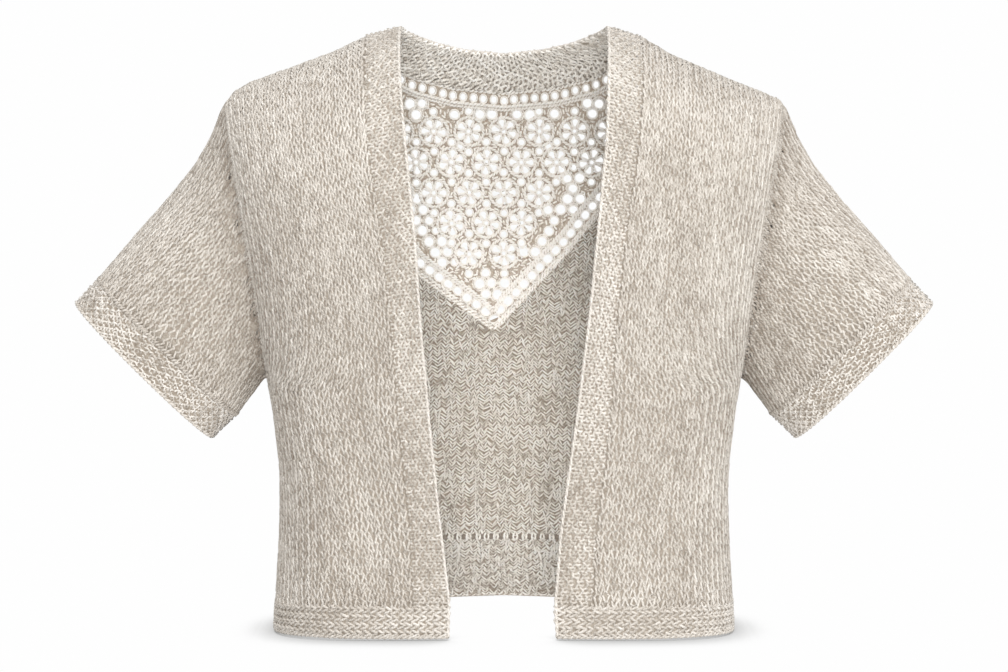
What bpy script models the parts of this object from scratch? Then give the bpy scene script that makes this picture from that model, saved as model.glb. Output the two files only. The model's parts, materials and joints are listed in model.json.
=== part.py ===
# Open-front knitted cardigan with short drop-shoulder sleeves, a V-shaped lace
# yoke in the upper back, one long front-and-neck band, hem bands and cuff bands.
#
# Metres, +Z up.  The fronts face -Y and the wearer's right side is at -X, so
# "left" in a name means the side at -X, as seen from in front.  The origin is
# the point between the two shoulder-neck points, where a wearer's shoulders
# carry the garment.
#
# The cloth is one thin wall.  The torso is a family of horizontal sections,
# superellipses whose half-width comes from the side line and from the
# armholes, and whose depth is rounded off over the shoulder ridge.  Panels are
# grids on that surface between two edge lines; Solidify gives them thickness.
import bpy
import math
import numpy as np
from mathutils import Vector

for old in list(bpy.data.objects):
    bpy.data.objects.remove(old, do_unlink=True)

# ------------------------------------------------------------ named sizes ---
CLOTH = 0.0030            # wall thickness of the knit
LACE = 0.0024             # wall thickness of the crochet yoke
GAP = 0.0003              # gap between pieces at a seam
SEAM = 0.0010             # distance of the walls' middles where their rims lean together
ROUND = 0.100             # how far below the ridge a shoulder is rounded off
SECTION_POWER = 2.7       # squareness of the torso's horizontal sections
ARMPIT_Z = -0.2992        # height of the armpit
CORNER_Z = -0.0640        # height of the shoulder corner, top of the armhole
ARMHOLE_HALF_DEPTH = 0.050
CUFF_HALF_DEPTH = 0.037
CUFF_BAND = 0.0285        # width of a cuff band along the sleeve
BEND = 0.0080             # how fast a sleeve turns away from its armhole

# Shoulder ridge, seen from in front: distance from the centre line, heights.
SHOULDER = dict(
    x=[0.000, 0.087, 0.115, 0.142, 0.184, 0.214, 0.2280, 0.2330],
    left=[0.0000, -0.0010, -0.0090, -0.0220, -0.0375, -0.0480, -0.0565, -0.0640],
    right=[0.0000, -0.0010, -0.0100, -0.0255, -0.0430, -0.0550, -0.0605, -0.0645])

# Depth of the torso in front of and behind the ridge.
DEPTH = dict(
    z=[-0.540, -0.500, -0.440, -0.370, -0.300, -0.220, -0.150, -0.090, 0.020],
    front=[0.101, 0.101, 0.101, 0.103, 0.107, 0.110, 0.106, 0.098, 0.090],
    back=[0.112, 0.111, 0.106, 0.100, 0.101, 0.106, 0.108, 0.103, 0.092])

# Half-width at the side seam, below the armpit.
SIDE = dict(
    z=[-0.540, -0.515, -0.490, -0.463, -0.443, -0.402, -0.372, -0.344, -0.320, -0.2992],
    half=[0.1950, 0.1950, 0.1938, 0.1920, 0.1907, 0.1890, 0.1895, 0.1925, 0.1955, 0.1993])

# Armhole seam, seen from in front: height, distance from the centre line.
ARMHOLE = dict(
    z=[-0.2992, -0.2477, -0.1944, -0.1412, -0.0900, -0.0640],
    x=[0.1993, 0.2030, 0.2100, 0.2195, 0.2285, 0.2330])

# Long front edges: height, free edge and seam of the band on each side.
FRONT_EDGE = dict(
    z=[-0.520, -0.475, -0.410, -0.330, -0.250, -0.180, -0.100, -0.040, 0.000],
    left_free=[0.0450, 0.0440, 0.0515, 0.0597, 0.0667, 0.0712, 0.0795, 0.0850, 0.0870],
    left_seam=[0.0735, 0.0737, 0.0768, 0.0851, 0.0912, 0.0985, 0.1110, 0.1140, 0.1150],
    right_free=[0.0430, 0.0413, 0.0465, 0.0578, 0.0675, 0.0745, 0.0825, 0.0852, 0.0865],
    right_seam=[0.0712, 0.0713, 0.0750, 0.0855, 0.0902, 0.0972, 0.1085, 0.1135, 0.1150])

# Band round the back neck, from a shoulder to the centre back.
NECK = dict(
    free_x=[0.0868, 0.0830, 0.0740, 0.0580, 0.0340, 0.0000],
    free_z=[-0.0010, -0.0030, -0.0068, -0.0120, -0.0172, -0.0203],
    seam_x=[0.1150, 0.1115, 0.1005, 0.0780, 0.0450, 0.0000],
    seam_z=[-0.0095, -0.0180, -0.0285, -0.0390, -0.0470, -0.0512])

# Lower edge of the lace yoke, a V: distance from the tip line, heights.
YOKE_TIP = -0.0090
YOKE = dict(
    x=[0.000, 0.066, 0.100, 0.130, 0.152, 0.168, 0.180],
    left=[-0.2600, -0.2115, -0.1740, -0.1260, -0.0760, -0.0310, 0.0100],
    right=[-0.2600, -0.1900, -0.1480, -0.1040, -0.0640, -0.0290, 0.0100])

# Hem: turn round the body from centre front (0) to centre back (1).
HEM = dict(
    turn=[0.00, 0.30, 0.50, 0.70, 1.00],
    front_top=[-0.4770, -0.4810, -0.4880, -0.4880, -0.4880],
    back_top=[-0.4540, -0.4540, -0.4540, -0.4510, -0.4480],
    bottom=[-0.5045, -0.5085, -0.5130, -0.5095, -0.5035])

# Sleeve, seen from in front: distance out, height.
CUFF_TOP = (0.3640, -0.2355)
CUFF_LOW = (0.2500, -0.3490)
# How far the top of a sleeve sinks below the straight line to its cuff.
SLEEVE_SAG = dict(along=[0.00, 0.15, 0.30, 0.50, 0.75, 1.00],
                  sag=[0.000, 0.0080, 0.0110, 0.0090, 0.0040, 0.000])

# Largest soft folds: face, distance out at mid height, mid height, lean
# (sideways per height), half width, half height, depth (+ is outward).
FOLDS = [
    dict(face=-1, side=-1, x=0.150, z=-0.420, lean=0.10, wide=0.022, tall=0.110, deep=0.0022),
    dict(face=-1, side=-1, x=0.118, z=-0.330, lean=0.05, wide=0.016, tall=0.130, deep=-0.0016),
    dict(face=-1, side=+1, x=0.154, z=-0.400, lean=0.08, wide=0.024, tall=0.120, deep=0.0020),
    dict(face=-1, side=+1, x=0.120, z=-0.300, lean=0.07, wide=0.018, tall=0.120, deep=-0.0015),
    dict(face=+1, side=-1, x=0.120, z=-0.400, lean=0.06, wide=0.030, tall=0.120, deep=0.0030),
    dict(face=+1, side=+1, x=0.128, z=-0.380, lean=0.06, wide=0.028, tall=0.130, deep=0.0028),
]

# Grid sizes.
BACK_SPLIT = (3, 4, 7, 7, 4, 3)       # columns of the back between its marks
BACK_COLS, FRONT_COLS, BAND_COLS = sum(BACK_SPLIT), 9, 3
LOW_ROWS, HIGH_ROWS = 8, 12
HEM_ROWS, SLEEVE_ROWS, CUFF_ROWS = 2, 5, 2

WOOL = (0.62, 0.56, 0.49)
WOOL_LIGHT = (0.68, 0.62, 0.55)


# -------------------------------------------------------------- the torso ---
def table(x, xs, ys):
    """Read a column of a table at x, with straight lines between its rows."""
    return np.interp(x, xs, ys)


def ridge(x):
    return np.where(np.asarray(x) < 0, table(np.abs(x), SHOULDER["x"], SHOULDER["left"]),
                    table(np.abs(x), SHOULDER["x"], SHOULDER["right"]))


def rounding(drop):
    """0 on the shoulder ridge, 1 from ROUND below it."""
    part = np.clip(drop / ROUND, 0.0, 1.0)
    return np.sqrt(1.0 - (1.0 - part) ** 2)


def half_depth(face, z):
    return table(z, DEPTH["z"], DEPTH["front" if face < 0 else "back"])


def armhole_half_depth(z):
    mid, half = (ARMPIT_Z + CORNER_Z) / 2, (CORNER_Z - ARMPIT_Z) / 2
    return ARMHOLE_HALF_DEPTH * np.sqrt(np.clip(1 - ((z - mid) / half) ** 2, 0, 1))


def edge_and_width(face, z):
    """Outer edge of the body cloth at z, and its section's half-width there."""
    z = np.asarray(z, float)
    n = SECTION_POWER
    edge = np.where(z < ARMPIT_Z, table(z, SIDE["z"], SIDE["half"]),
                    table(z, ARMHOLE["z"], ARMHOLE["x"]))
    drop = np.maximum(ridge(edge) - z, 1e-7)
    part = armhole_half_depth(z) / (half_depth(face, z) * np.maximum(rounding(drop), 1e-4))
    at_top = armhole_half_depth(CORNER_Z - 0.004) / (
        half_depth(face, CORNER_Z) * rounding(ridge(table(CORNER_Z - 0.004, ARMHOLE["z"], ARMHOLE["x"]))
                                              - CORNER_Z + 0.004))
    part = np.where(z < ARMPIT_Z, 0.0, np.where(z > CORNER_Z - 0.004, at_top, part))
    part = np.clip(part, 0.0, 0.85)
    return edge, edge / (1 - part ** n) ** (1 / n)


def fold(face, x, z):
    total = np.zeros_like(np.asarray(x + z, float))
    for f in FOLDS:
        if f["face"] == face:
            centre = f["side"] * (f["x"] + f["lean"] * (z - f["z"]))
            total = total + f["deep"] * np.exp(-((x - centre) / f["wide"]) ** 2
                                               - ((z - f["z"]) / f["tall"]) ** 4)
    return total


def torso(face, x, z):
    """Point of the torso surface straight in front of or behind (x, z)."""
    n = SECTION_POWER
    edge, width = edge_and_width(face, z)
    inside = np.clip(1 - np.minimum(np.abs(x) / width, 1.0) ** n, 0.0, 1.0) ** (1 / n)
    y = half_depth(face, z) * inside * rounding(ridge(x) - z)
    y = y + fold(face, x, z) * np.clip(inside * 3 - 0.9, 0, 1) * rounding(ridge(x) - z)
    return np.stack([x + 0 * z, face * (y + SEAM / 2), z + 0 * x], axis=-1)


def across(face, x_in, x_out, z, u):
    """x at fraction u, by length round the section, between two edge lines."""
    n = SECTION_POWER
    edge, width = edge_and_width(face, z)
    s_in, s_out = np.sign(x_in), np.sign(x_out)

    def angle(x):
        q = np.clip(np.abs(x) / width, 0, 1) ** (n / 2)
        return np.sign(x) * np.arcsin(np.clip(q, 0, 1))
    a0, a1 = angle(x_in), angle(x_out)
    t = np.linspace(0, 1, 49)
    a = a0[..., None] + (a1 - a0)[..., None] * t
    xs = np.sign(a) * width[..., None] * np.abs(np.sin(a)) ** (2 / n)
    ys = half_depth(face, z)[..., None] * np.abs(np.cos(a)) ** (2 / n)
    step = np.hypot(np.diff(xs, axis=-1), np.diff(ys, axis=-1))
    run = np.concatenate([np.zeros(step.shape[:-1] + (1,)), np.cumsum(step, axis=-1)], axis=-1)
    run /= run[..., -1:]
    out = np.empty(len(z))
    for i in range(len(z)):
        out[i] = np.interp(u, run[i], xs[i])
    return out


def hem_height(which, face, x):
    """Height of a hem line at x; the turn runs round by the section's width."""
    side = np.clip(np.abs(x) / 0.196, 0, 1)
    quarter = np.arcsin(side) / math.pi
    turn = quarter if face < 0 else 1 - quarter
    return table(turn, HEM["turn"], HEM[which])


def yoke_edge(x):
    d = x - YOKE_TIP
    left = table(-d, YOKE["x"], YOKE["left"])
    right = table(d, YOKE["x"], YOKE["right"])
    return np.where(d < 0, left, right)


def column(face, x_in, x_out, u, z_low, z_high, levels):
    """Points up one column of a panel.  x_in and x_out give its side lines by
    height, z_low and z_high its ends by x, and levels(lo, hi) the heights."""
    def x_at(z):
        z = np.atleast_1d(np.asarray(z, float))
        return across(face, x_in(z), x_out(z), z, u)
    top = np.array([-0.10])
    low = np.array([-0.46])
    for _ in range(30):
        top = 0.5 * top + 0.5 * np.atleast_1d(z_high(x_at(top)))
        low = 0.5 * low + 0.5 * np.atleast_1d(z_low(x_at(low)))
    z = levels(float(low[0]), float(top[0]))
    return torso(face, x_at(z), z)


# ----------------------------------------------------------- mesh helpers ---
model = bpy.data.collections.new("knitted_cardigan")
bpy.context.scene.collection.children.link(model)


def cloth_material(name, colour, rough):
    m = bpy.data.materials.new(name)
    m.use_nodes = True
    b = m.node_tree.nodes["Principled BSDF"]
    b.inputs["Base Color"].default_value = (*colour, 1)
    b.inputs["Roughness"].default_value = rough
    b.inputs["Metallic"].default_value = 0.0
    m.diffuse_color = (*colour, 1)
    return m


def sheet(name, grid, colour, thick=CLOTH, tube=False, flip=False):
    """A grid of points (columns of rows) as an open surface with Solidify."""
    grid = np.asarray(grid)
    cols, rows = grid.shape[:2]
    verts = [tuple(p) for col in grid for p in col]
    faces = []
    for i in range(cols if tube else cols - 1):
        k = (i + 1) % cols
        for j in range(rows - 1):
            quad = (i * rows + j, k * rows + j, k * rows + j + 1, i * rows + j + 1)
            faces.append(quad[::-1] if flip else quad)
    mesh = bpy.data.meshes.new(name)
    mesh.from_pydata(verts, [], faces)
    mesh.shade_smooth()
    mesh.materials.append(cloth_material(name + "_knit", colour, 0.93))
    ob = bpy.data.objects.new(name, mesh)
    model.objects.link(ob)
    solid = ob.modifiers.new("cloth_wall", 'SOLIDIFY')
    solid.thickness = thick
    solid.offset = 0.0
    solid.use_even_offset = True
    solid.use_quality_normals = True
    solid.use_rim = True
    return ob


def front_line(side, which):
    name = ("left_" if side < 0 else "right_") + which
    return lambda z: side * table(z, FRONT_EDGE["z"], FRONT_EDGE[name])


def outer_line(side, face=-1):
    return lambda z: side * edge_and_width(face, z)[0]


def panel_levels(lo, hi):
    """Heights of a body panel: evenly to the armpit, then closer to the ridge."""
    low = np.linspace(lo, ARMPIT_Z, LOW_ROWS + 1)
    t = np.linspace(0, 1, HIGH_ROWS + 1)[1:-1]
    high = ARMPIT_Z + (hi - ARMPIT_Z) * (0.15 * t + 0.85 * np.sin(t * math.pi / 2))
    return np.concatenate([low, high, [hi - 0.0006, hi]])


def to_ridge(x):
    return ridge(x) - 1e-7


# ----------------------------------------------------------------- fronts ---
edge_points = {}          # armhole edge of each body panel, armpit to corner
half = GAP / 2


def build_front(side):
    seam, outer = front_line(side, "seam"), outer_line(side)
    grid = []
    for i in range(FRONT_COLS + 1):
        u = i / FRONT_COLS
        grid.append(column(-1, lambda z: seam(z) + side * half, outer, u,
                           lambda x: hem_height("front_top", -1, x) + half, to_ridge, panel_levels))
    edge_points[(-1, side)] = grid[-1][LOW_ROWS:]
    name = "front_left" if side < 0 else "front_right"
    sheet(name, grid, WOOL, flip=(side < 0))


def build_hem_front(side):
    free, outer = front_line(side, "free"), outer_line(side)
    grid = []
    for i in range(FRONT_COLS + 4):
        u = i / (FRONT_COLS + 3)
        grid.append(column(-1, free, outer, u, lambda x: hem_height("bottom", -1, x),
                           lambda x: hem_height("front_top", -1, x) - half,
                           lambda lo, hi: np.linspace(lo, hi, HEM_ROWS + 1)))
    name = "hem_left" if side < 0 else "hem_right"
    sheet(name, grid, WOOL, flip=(side < 0))


for side in (-1, 1):
    build_front(side)
    build_hem_front(side)


# ------------------------------------------------------------------- back ---
back_left, back_right = outer_line(-1, +1), outer_line(+1, +1)


def yoke_gap(x):
    """Height to leave between the yoke's edge line and each wall beside it."""
    slope = np.abs(yoke_edge(x + 0.006) - yoke_edge(x - 0.006)) / 0.012
    return SEAM / 2 * np.sqrt(1 + slope ** 2)


def back_top(x):
    return np.minimum(yoke_edge(x) - yoke_gap(x), to_ridge(x))


def top_of(u):
    return column(+1, back_left, back_right, u, lambda x: hem_height("back_top", +1, x),
                  back_top, lambda lo, hi: np.array([lo, hi]))[-1][0]


def fraction_at(x):
    """Column fraction whose top end is at x."""
    lo, hi = 0.0, 1.0
    for _ in range(26):
        mid = (lo + hi) / 2
        lo, hi = (mid, hi) if top_of(mid) < x else (lo, mid)
    return (lo + hi) / 2


# Columns of the back: marks on the yoke's tip, at the sides of the neck band
# and at the ends of the yoke on the shoulders, and columns between the marks.
YOKE_END = dict(left=-0.1735, right=0.1545)
marks = [0.0] + [fraction_at(x) for x in (YOKE_END["left"], -NECK["seam_x"][0], YOKE_TIP,
                                          NECK["seam_x"][0], YOKE_END["right"])] + [1.0]
back_fractions = [marks[q] + (marks[q + 1] - marks[q]) * i / count
                  for q, count in enumerate(BACK_SPLIT) for i in range(count)] + [1.0]


def back_u(i):
    return back_fractions[i]


back_grid = [column(+1, back_left, back_right, back_u(i),
                    lambda x: hem_height("back_top", +1, x) + half, back_top, panel_levels)
             for i in range(BACK_COLS + 1)]
edge_points[(+1, -1)] = back_grid[0][LOW_ROWS:]
edge_points[(+1, +1)] = back_grid[-1][LOW_ROWS:]
sheet("back", back_grid, WOOL, flip=True)

hem_back_grid = [column(+1, back_left, back_right, back_u(i),
                        lambda x: hem_height("bottom", +1, x),
                        lambda x: hem_height("back_top", +1, x) - half,
                        lambda lo, hi: np.linspace(lo, hi, HEM_ROWS + 1))
                 for i in range(BACK_COLS + 1)]
sheet("hem_back", hem_back_grid, WOOL, flip=True)


# -------------------------------------------------------------- lace yoke ---
def neck_seam(x):
    """Height of the neck band's seam at x, and the ridge outside it."""
    xs, zs = NECK["seam_x"][::-1], NECK["seam_z"][::-1]
    inner = table(np.abs(x), xs, zs)
    return np.where(np.abs(x) < xs[-1] + 1e-5, inner - SEAM / 2, to_ridge(x))


yoke_grid = []
for i in range(BACK_COLS + 1):
    top = back_grid[i][-1]
    if YOKE_END["left"] - 1e-4 < top[0] < YOKE_END["right"] + 1e-4:
        x = np.array([top[0]])
        lo, hi = float(yoke_edge(top[0]) + yoke_gap(top[0])), float(neck_seam(x)[0])
        t = np.linspace(0, 1, 10)
        z = lo + (hi - lo) * (0.4 * t + 0.6 * np.sin(t * math.pi / 2))
        yoke_grid.append(torso(+1, np.full(len(z), top[0]), z))
sheet("lace_yoke", yoke_grid, WOOL_LIGHT, thick=LACE, flip=True)


# ------------------------------------------------- long front and neck band ---
def front_strip(side, w):
    """One line of the band, up a front to the shoulder ridge."""
    free, seam = front_line(side, "free"), front_line(side, "seam")
    return column(-1, free, lambda z: seam(z) - side * half, w,
                  lambda x: hem_height("front_top", -1, x) + half, to_ridge, panel_levels)


def neck_strip(w):
    """One line of the band round the back neck, from -X to +X, with a point
    at each of the yoke's columns."""
    seam = np.array([c[-1][0] for c in yoke_grid])
    seam = seam[np.abs(seam) < NECK["seam_x"][0] + 1e-4]
    s = np.linspace(0, 1, len(NECK["free_x"]))
    k = np.interp(np.abs(seam), NECK["seam_x"][::-1], s[::-1])
    sign = np.where(seam < 0, -1.0, 1.0)
    fx, fz = table(k, s, NECK["free_x"]), table(k, s, NECK["free_z"])
    sx, sz = table(k, s, NECK["seam_x"]), table(k, s, NECK["seam_z"])
    x = sign * (fx + (sx - fx) * w)
    z = fz + (sz - fz) * w
    z = np.minimum(z + SEAM / 2 * w, to_ridge(x))
    return torso(+1, x, z)


band_grid = []
for i in range(BAND_COLS + 1):
    w = i / BAND_COLS
    up = front_strip(-1, w)
    round_neck = neck_strip(w)[1:-1]
    down = front_strip(+1, w)[::-1]
    band_grid.append(np.concatenate([up, round_neck, down]))
sheet("front_band", band_grid, WOOL_LIGHT, flip=True)


# -------------------------------------------------------- sleeves and cuffs ---
def sleeve_loop(side):
    """The armhole seam as a closed loop, from the armpit up the front."""
    front, back = edge_points[(-1, side)], edge_points[(+1, side)]
    low, top = (front[0] + back[0]) / 2, (front[-1] + back[-1]) / 2
    return np.array([low, *front[1:-1], top, *back[1:-1][::-1]])


def conormals(side, loop):
    """Directions in which the body cloth runs off its armhole edge."""
    out = []
    count = len(loop)
    half_count = count // 2
    for k, p in enumerate(loop):
        along = Vector(loop[(k + 1) % count] - loop[k - 1]).normalized()
        face = -1 if k <= half_count else 1
        z = float(np.clip(p[2], ARMPIT_Z + 0.001, CORNER_Z - 0.004))
        edge = float(edge_and_width(face, z)[0])
        here = torso(face, np.array([side * edge]), np.array([z]))[0]
        inward = torso(face, np.array([side * (edge - 0.002)]), np.array([z]))[0]
        step = Vector(here - inward)
        if k == 0:                      # armpit: the side seam runs up
            step = Vector((side * 0.15, 0.0, 1.0))
        elif k == half_count:           # shoulder corner: the ridge runs out
            step = Vector((side * 1.0, 0.0, -0.55))
        step -= step.dot(along) * along
        out.append(step.normalized())
    # ease from point to point
    for _ in range(2):
        out = [(out[k - 1] + 2 * out[k] + out[(k + 1) % count]).normalized() for k in range(count)]
    return out


def cuff_point(side, angle, back_off):
    """Point of the cuff's edge, or of a line back_off up the sleeve from it."""
    top, low = Vector((side * CUFF_TOP[0], 0, CUFF_TOP[1])), Vector((side * CUFF_LOW[0], 0, CUFF_LOW[1]))
    chord = (top - low)
    up = chord.normalized()
    out = Vector((side * abs(up.z), 0, -abs(up.x))).normalized()
    mid = (top + low) / 2 - out * back_off
    c, s = math.cos(angle), math.sin(angle)
    p = 2 / 2.3
    return (mid + up * (-math.copysign(abs(c) ** p, c) * chord.length / 2 * (1 + 0.30 * back_off))
            + Vector((0, -1, 0)) * (math.copysign(abs(s) ** p, s) * (CUFF_HALF_DEPTH + 0.05 * back_off)))


def build_sleeve(side):
    loop = sleeve_loop(side)
    count = len(loop)
    off = conormals(side, loop)
    # angle of each loop point about the loop, 0 at the armpit, pi at the top
    steps = [np.linalg.norm(loop[(k + 1) % count] - loop[k]) for k in range(count)]
    half_count = count // 2
    run_front = np.cumsum([0] + steps[:half_count])
    run_back = np.cumsum([0] + steps[half_count:])
    angle = [math.pi * run_front[k] / run_front[-1] for k in range(half_count + 1)]
    angle += [math.pi * (1 + run_back[k] / run_back[-1]) for k in range(1, count - half_count)]
    grid, cuff = [], []
    for k in range(count):
        start = Vector(loop[k]) + off[k] * SEAM
        end = cuff_point(side, angle[k], CUFF_BAND + SEAM / 2)
        aim = (end - start).normalized()
        length = (end - start).length
        bend = min(BEND, 0.25 * length)
        turn_in = start + off[k] * bend * 0.75
        turn_out = turn_in + (end - turn_in).normalized() * bend
        rows = [start]
        for t in (0.35, 0.68, 1.0):
            rows.append(start * (1 - t) ** 2 + turn_in * 2 * t * (1 - t) + turn_out * t * t)
        low_end, top_end = cuff_point(side, 0, CUFF_BAND), cuff_point(side, math.pi, CUFF_BAND)
        inward = (low_end - top_end).normalized()
        weight = ((1 - math.cos(angle[k])) / 2) ** 1.5
        for j in range(1, SLEEVE_ROWS + 1):
            rows.append(turn_out + (end - turn_out) * (j / SLEEVE_ROWS))
        done = []
        for r in rows:
            along = min(1.0, max(0.0, (r - start).length / length))
            sag = float(table(along, SLEEVE_SAG["along"], SLEEVE_SAG["sag"]))
            done.append(tuple(r + inward * sag * weight))
        grid.append(done)
        cuff.append([tuple(cuff_point(side, angle[k], b))
                     for b in np.linspace(CUFF_BAND - SEAM / 2, 0, CUFF_ROWS + 1)])
    tag = "left" if side < 0 else "right"
    sheet("sleeve_" + tag, grid, WOOL, tube=True, flip=(side > 0))
    sheet("cuff_" + tag, cuff, WOOL, tube=True, flip=(side > 0))


for side in (-1, 1):
    build_sleeve(side)
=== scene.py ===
# The looks of the open-front knitted cardigan: every loop of yarn of its
# stockinette panels, moss-stitch bands, hems and cuffs, and the crocheted yoke.
#
# Metres, +Z up.  "left" is the side at -X, as seen from in front.
import bpy
import json
import math
import numpy as np
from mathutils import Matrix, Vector

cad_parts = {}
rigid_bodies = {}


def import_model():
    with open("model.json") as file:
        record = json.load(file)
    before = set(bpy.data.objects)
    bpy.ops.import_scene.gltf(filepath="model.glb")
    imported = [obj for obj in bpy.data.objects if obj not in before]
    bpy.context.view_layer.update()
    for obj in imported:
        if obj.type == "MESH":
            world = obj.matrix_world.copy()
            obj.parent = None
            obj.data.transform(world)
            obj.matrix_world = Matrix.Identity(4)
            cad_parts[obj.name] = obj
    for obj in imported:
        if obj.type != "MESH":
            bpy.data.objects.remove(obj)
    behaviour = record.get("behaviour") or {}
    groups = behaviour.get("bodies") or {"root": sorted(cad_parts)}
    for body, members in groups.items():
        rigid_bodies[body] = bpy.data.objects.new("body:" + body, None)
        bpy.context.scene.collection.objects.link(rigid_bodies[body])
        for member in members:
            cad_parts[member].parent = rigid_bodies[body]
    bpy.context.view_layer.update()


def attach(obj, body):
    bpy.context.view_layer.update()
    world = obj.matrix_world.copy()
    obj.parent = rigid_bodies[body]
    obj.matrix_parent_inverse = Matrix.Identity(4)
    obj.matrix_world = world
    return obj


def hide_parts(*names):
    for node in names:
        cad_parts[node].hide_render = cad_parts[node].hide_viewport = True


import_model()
rng = np.random.default_rng(7)

# ----------------------------------------------------------------- camera ---
cam_data = bpy.data.cameras.new("camera")
cam_data.sensor_width = 36.0
cam_data.lens = 88.2
camera = bpy.data.objects.new("camera", cam_data)
bpy.context.scene.collection.objects.link(camera)
camera.location = (0.0, -2.1, -0.147)
camera.rotation_euler = (math.radians(90.0 - 3.15), 0.0, 0.0)
bpy.context.scene.camera = camera
bpy.context.scene.view_settings.view_transform = 'Standard'

# ---------------------------------------- the garment's sizes, as in its CAD ---
GAP = 0.0003
SEAM = 0.0010
ROUND = 0.100
SECTION_POWER = 2.7
ARMPIT_Z = -0.2992
CORNER_Z = -0.0640
ARMHOLE_HALF_DEPTH = 0.050
CUFF_HALF_DEPTH = 0.037
CUFF_BAND = 0.0285
BEND = 0.0080

SHOULDER = dict(
    x=[0.000, 0.087, 0.115, 0.142, 0.184, 0.214, 0.2280, 0.2330],
    left=[0.0000, -0.0010, -0.0090, -0.0220, -0.0375, -0.0480, -0.0565, -0.0640],
    right=[0.0000, -0.0010, -0.0100, -0.0255, -0.0430, -0.0550, -0.0605, -0.0645])
DEPTH = dict(
    z=[-0.540, -0.500, -0.440, -0.370, -0.300, -0.220, -0.150, -0.090, 0.020],
    front=[0.101, 0.101, 0.101, 0.103, 0.107, 0.110, 0.106, 0.098, 0.090],
    back=[0.112, 0.111, 0.106, 0.100, 0.101, 0.106, 0.108, 0.103, 0.092])
SIDE = dict(
    z=[-0.540, -0.515, -0.490, -0.463, -0.443, -0.402, -0.372, -0.344, -0.320, -0.2992],
    half=[0.1950, 0.1950, 0.1938, 0.1920, 0.1907, 0.1890, 0.1895, 0.1925, 0.1955, 0.1993])
ARMHOLE = dict(
    z=[-0.2992, -0.2477, -0.1944, -0.1412, -0.0900, -0.0640],
    x=[0.1993, 0.2030, 0.2100, 0.2195, 0.2285, 0.2330])
FRONT_EDGE = dict(
    z=[-0.520, -0.475, -0.410, -0.330, -0.250, -0.180, -0.100, -0.040, 0.000],
    left_free=[0.0450, 0.0440, 0.0515, 0.0597, 0.0667, 0.0712, 0.0795, 0.0850, 0.0870],
    left_seam=[0.0735, 0.0737, 0.0768, 0.0851, 0.0912, 0.0985, 0.1110, 0.1140, 0.1150],
    right_free=[0.0430, 0.0413, 0.0465, 0.0578, 0.0675, 0.0745, 0.0825, 0.0852, 0.0865],
    right_seam=[0.0712, 0.0713, 0.0750, 0.0855, 0.0902, 0.0972, 0.1085, 0.1135, 0.1150])
NECK = dict(
    free_x=[0.0868, 0.0830, 0.0740, 0.0580, 0.0340, 0.0000],
    free_z=[-0.0010, -0.0030, -0.0068, -0.0120, -0.0172, -0.0203],
    seam_x=[0.1150, 0.1115, 0.1005, 0.0780, 0.0450, 0.0000],
    seam_z=[-0.0095, -0.0180, -0.0285, -0.0390, -0.0470, -0.0512])
YOKE_TIP = -0.0090
YOKE = dict(
    x=[0.000, 0.066, 0.100, 0.130, 0.152, 0.168, 0.180],
    left=[-0.2600, -0.2115, -0.1740, -0.1260, -0.0760, -0.0310, 0.0100],
    right=[-0.2600, -0.1900, -0.1480, -0.1040, -0.0640, -0.0290, 0.0100])
YOKE_END = dict(left=-0.1735, right=0.1545)
HEM = dict(
    turn=[0.00, 0.30, 0.50, 0.70, 1.00],
    front_top=[-0.4770, -0.4810, -0.4880, -0.4880, -0.4880],
    back_top=[-0.4540, -0.4540, -0.4540, -0.4510, -0.4480],
    bottom=[-0.5045, -0.5085, -0.5130, -0.5095, -0.5035])
CUFF_TOP = (0.3640, -0.2355)
CUFF_LOW = (0.2500, -0.3490)
SLEEVE_SAG = dict(along=[0.00, 0.15, 0.30, 0.50, 0.75, 1.00],
                  sag=[0.000, 0.0080, 0.0110, 0.0090, 0.0040, 0.000])
FOLDS = [
    dict(face=-1, side=-1, x=0.150, z=-0.420, lean=0.10, wide=0.022, tall=0.110, deep=0.0022),
    dict(face=-1, side=-1, x=0.118, z=-0.330, lean=0.05, wide=0.016, tall=0.130, deep=-0.0016),
    dict(face=-1, side=+1, x=0.154, z=-0.400, lean=0.08, wide=0.024, tall=0.120, deep=0.0020),
    dict(face=-1, side=+1, x=0.120, z=-0.300, lean=0.07, wide=0.018, tall=0.120, deep=-0.0015),
    dict(face=+1, side=-1, x=0.120, z=-0.400, lean=0.06, wide=0.030, tall=0.120, deep=0.0030),
    dict(face=+1, side=+1, x=0.128, z=-0.380, lean=0.06, wide=0.028, tall=0.130, deep=0.0028),
]

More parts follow.
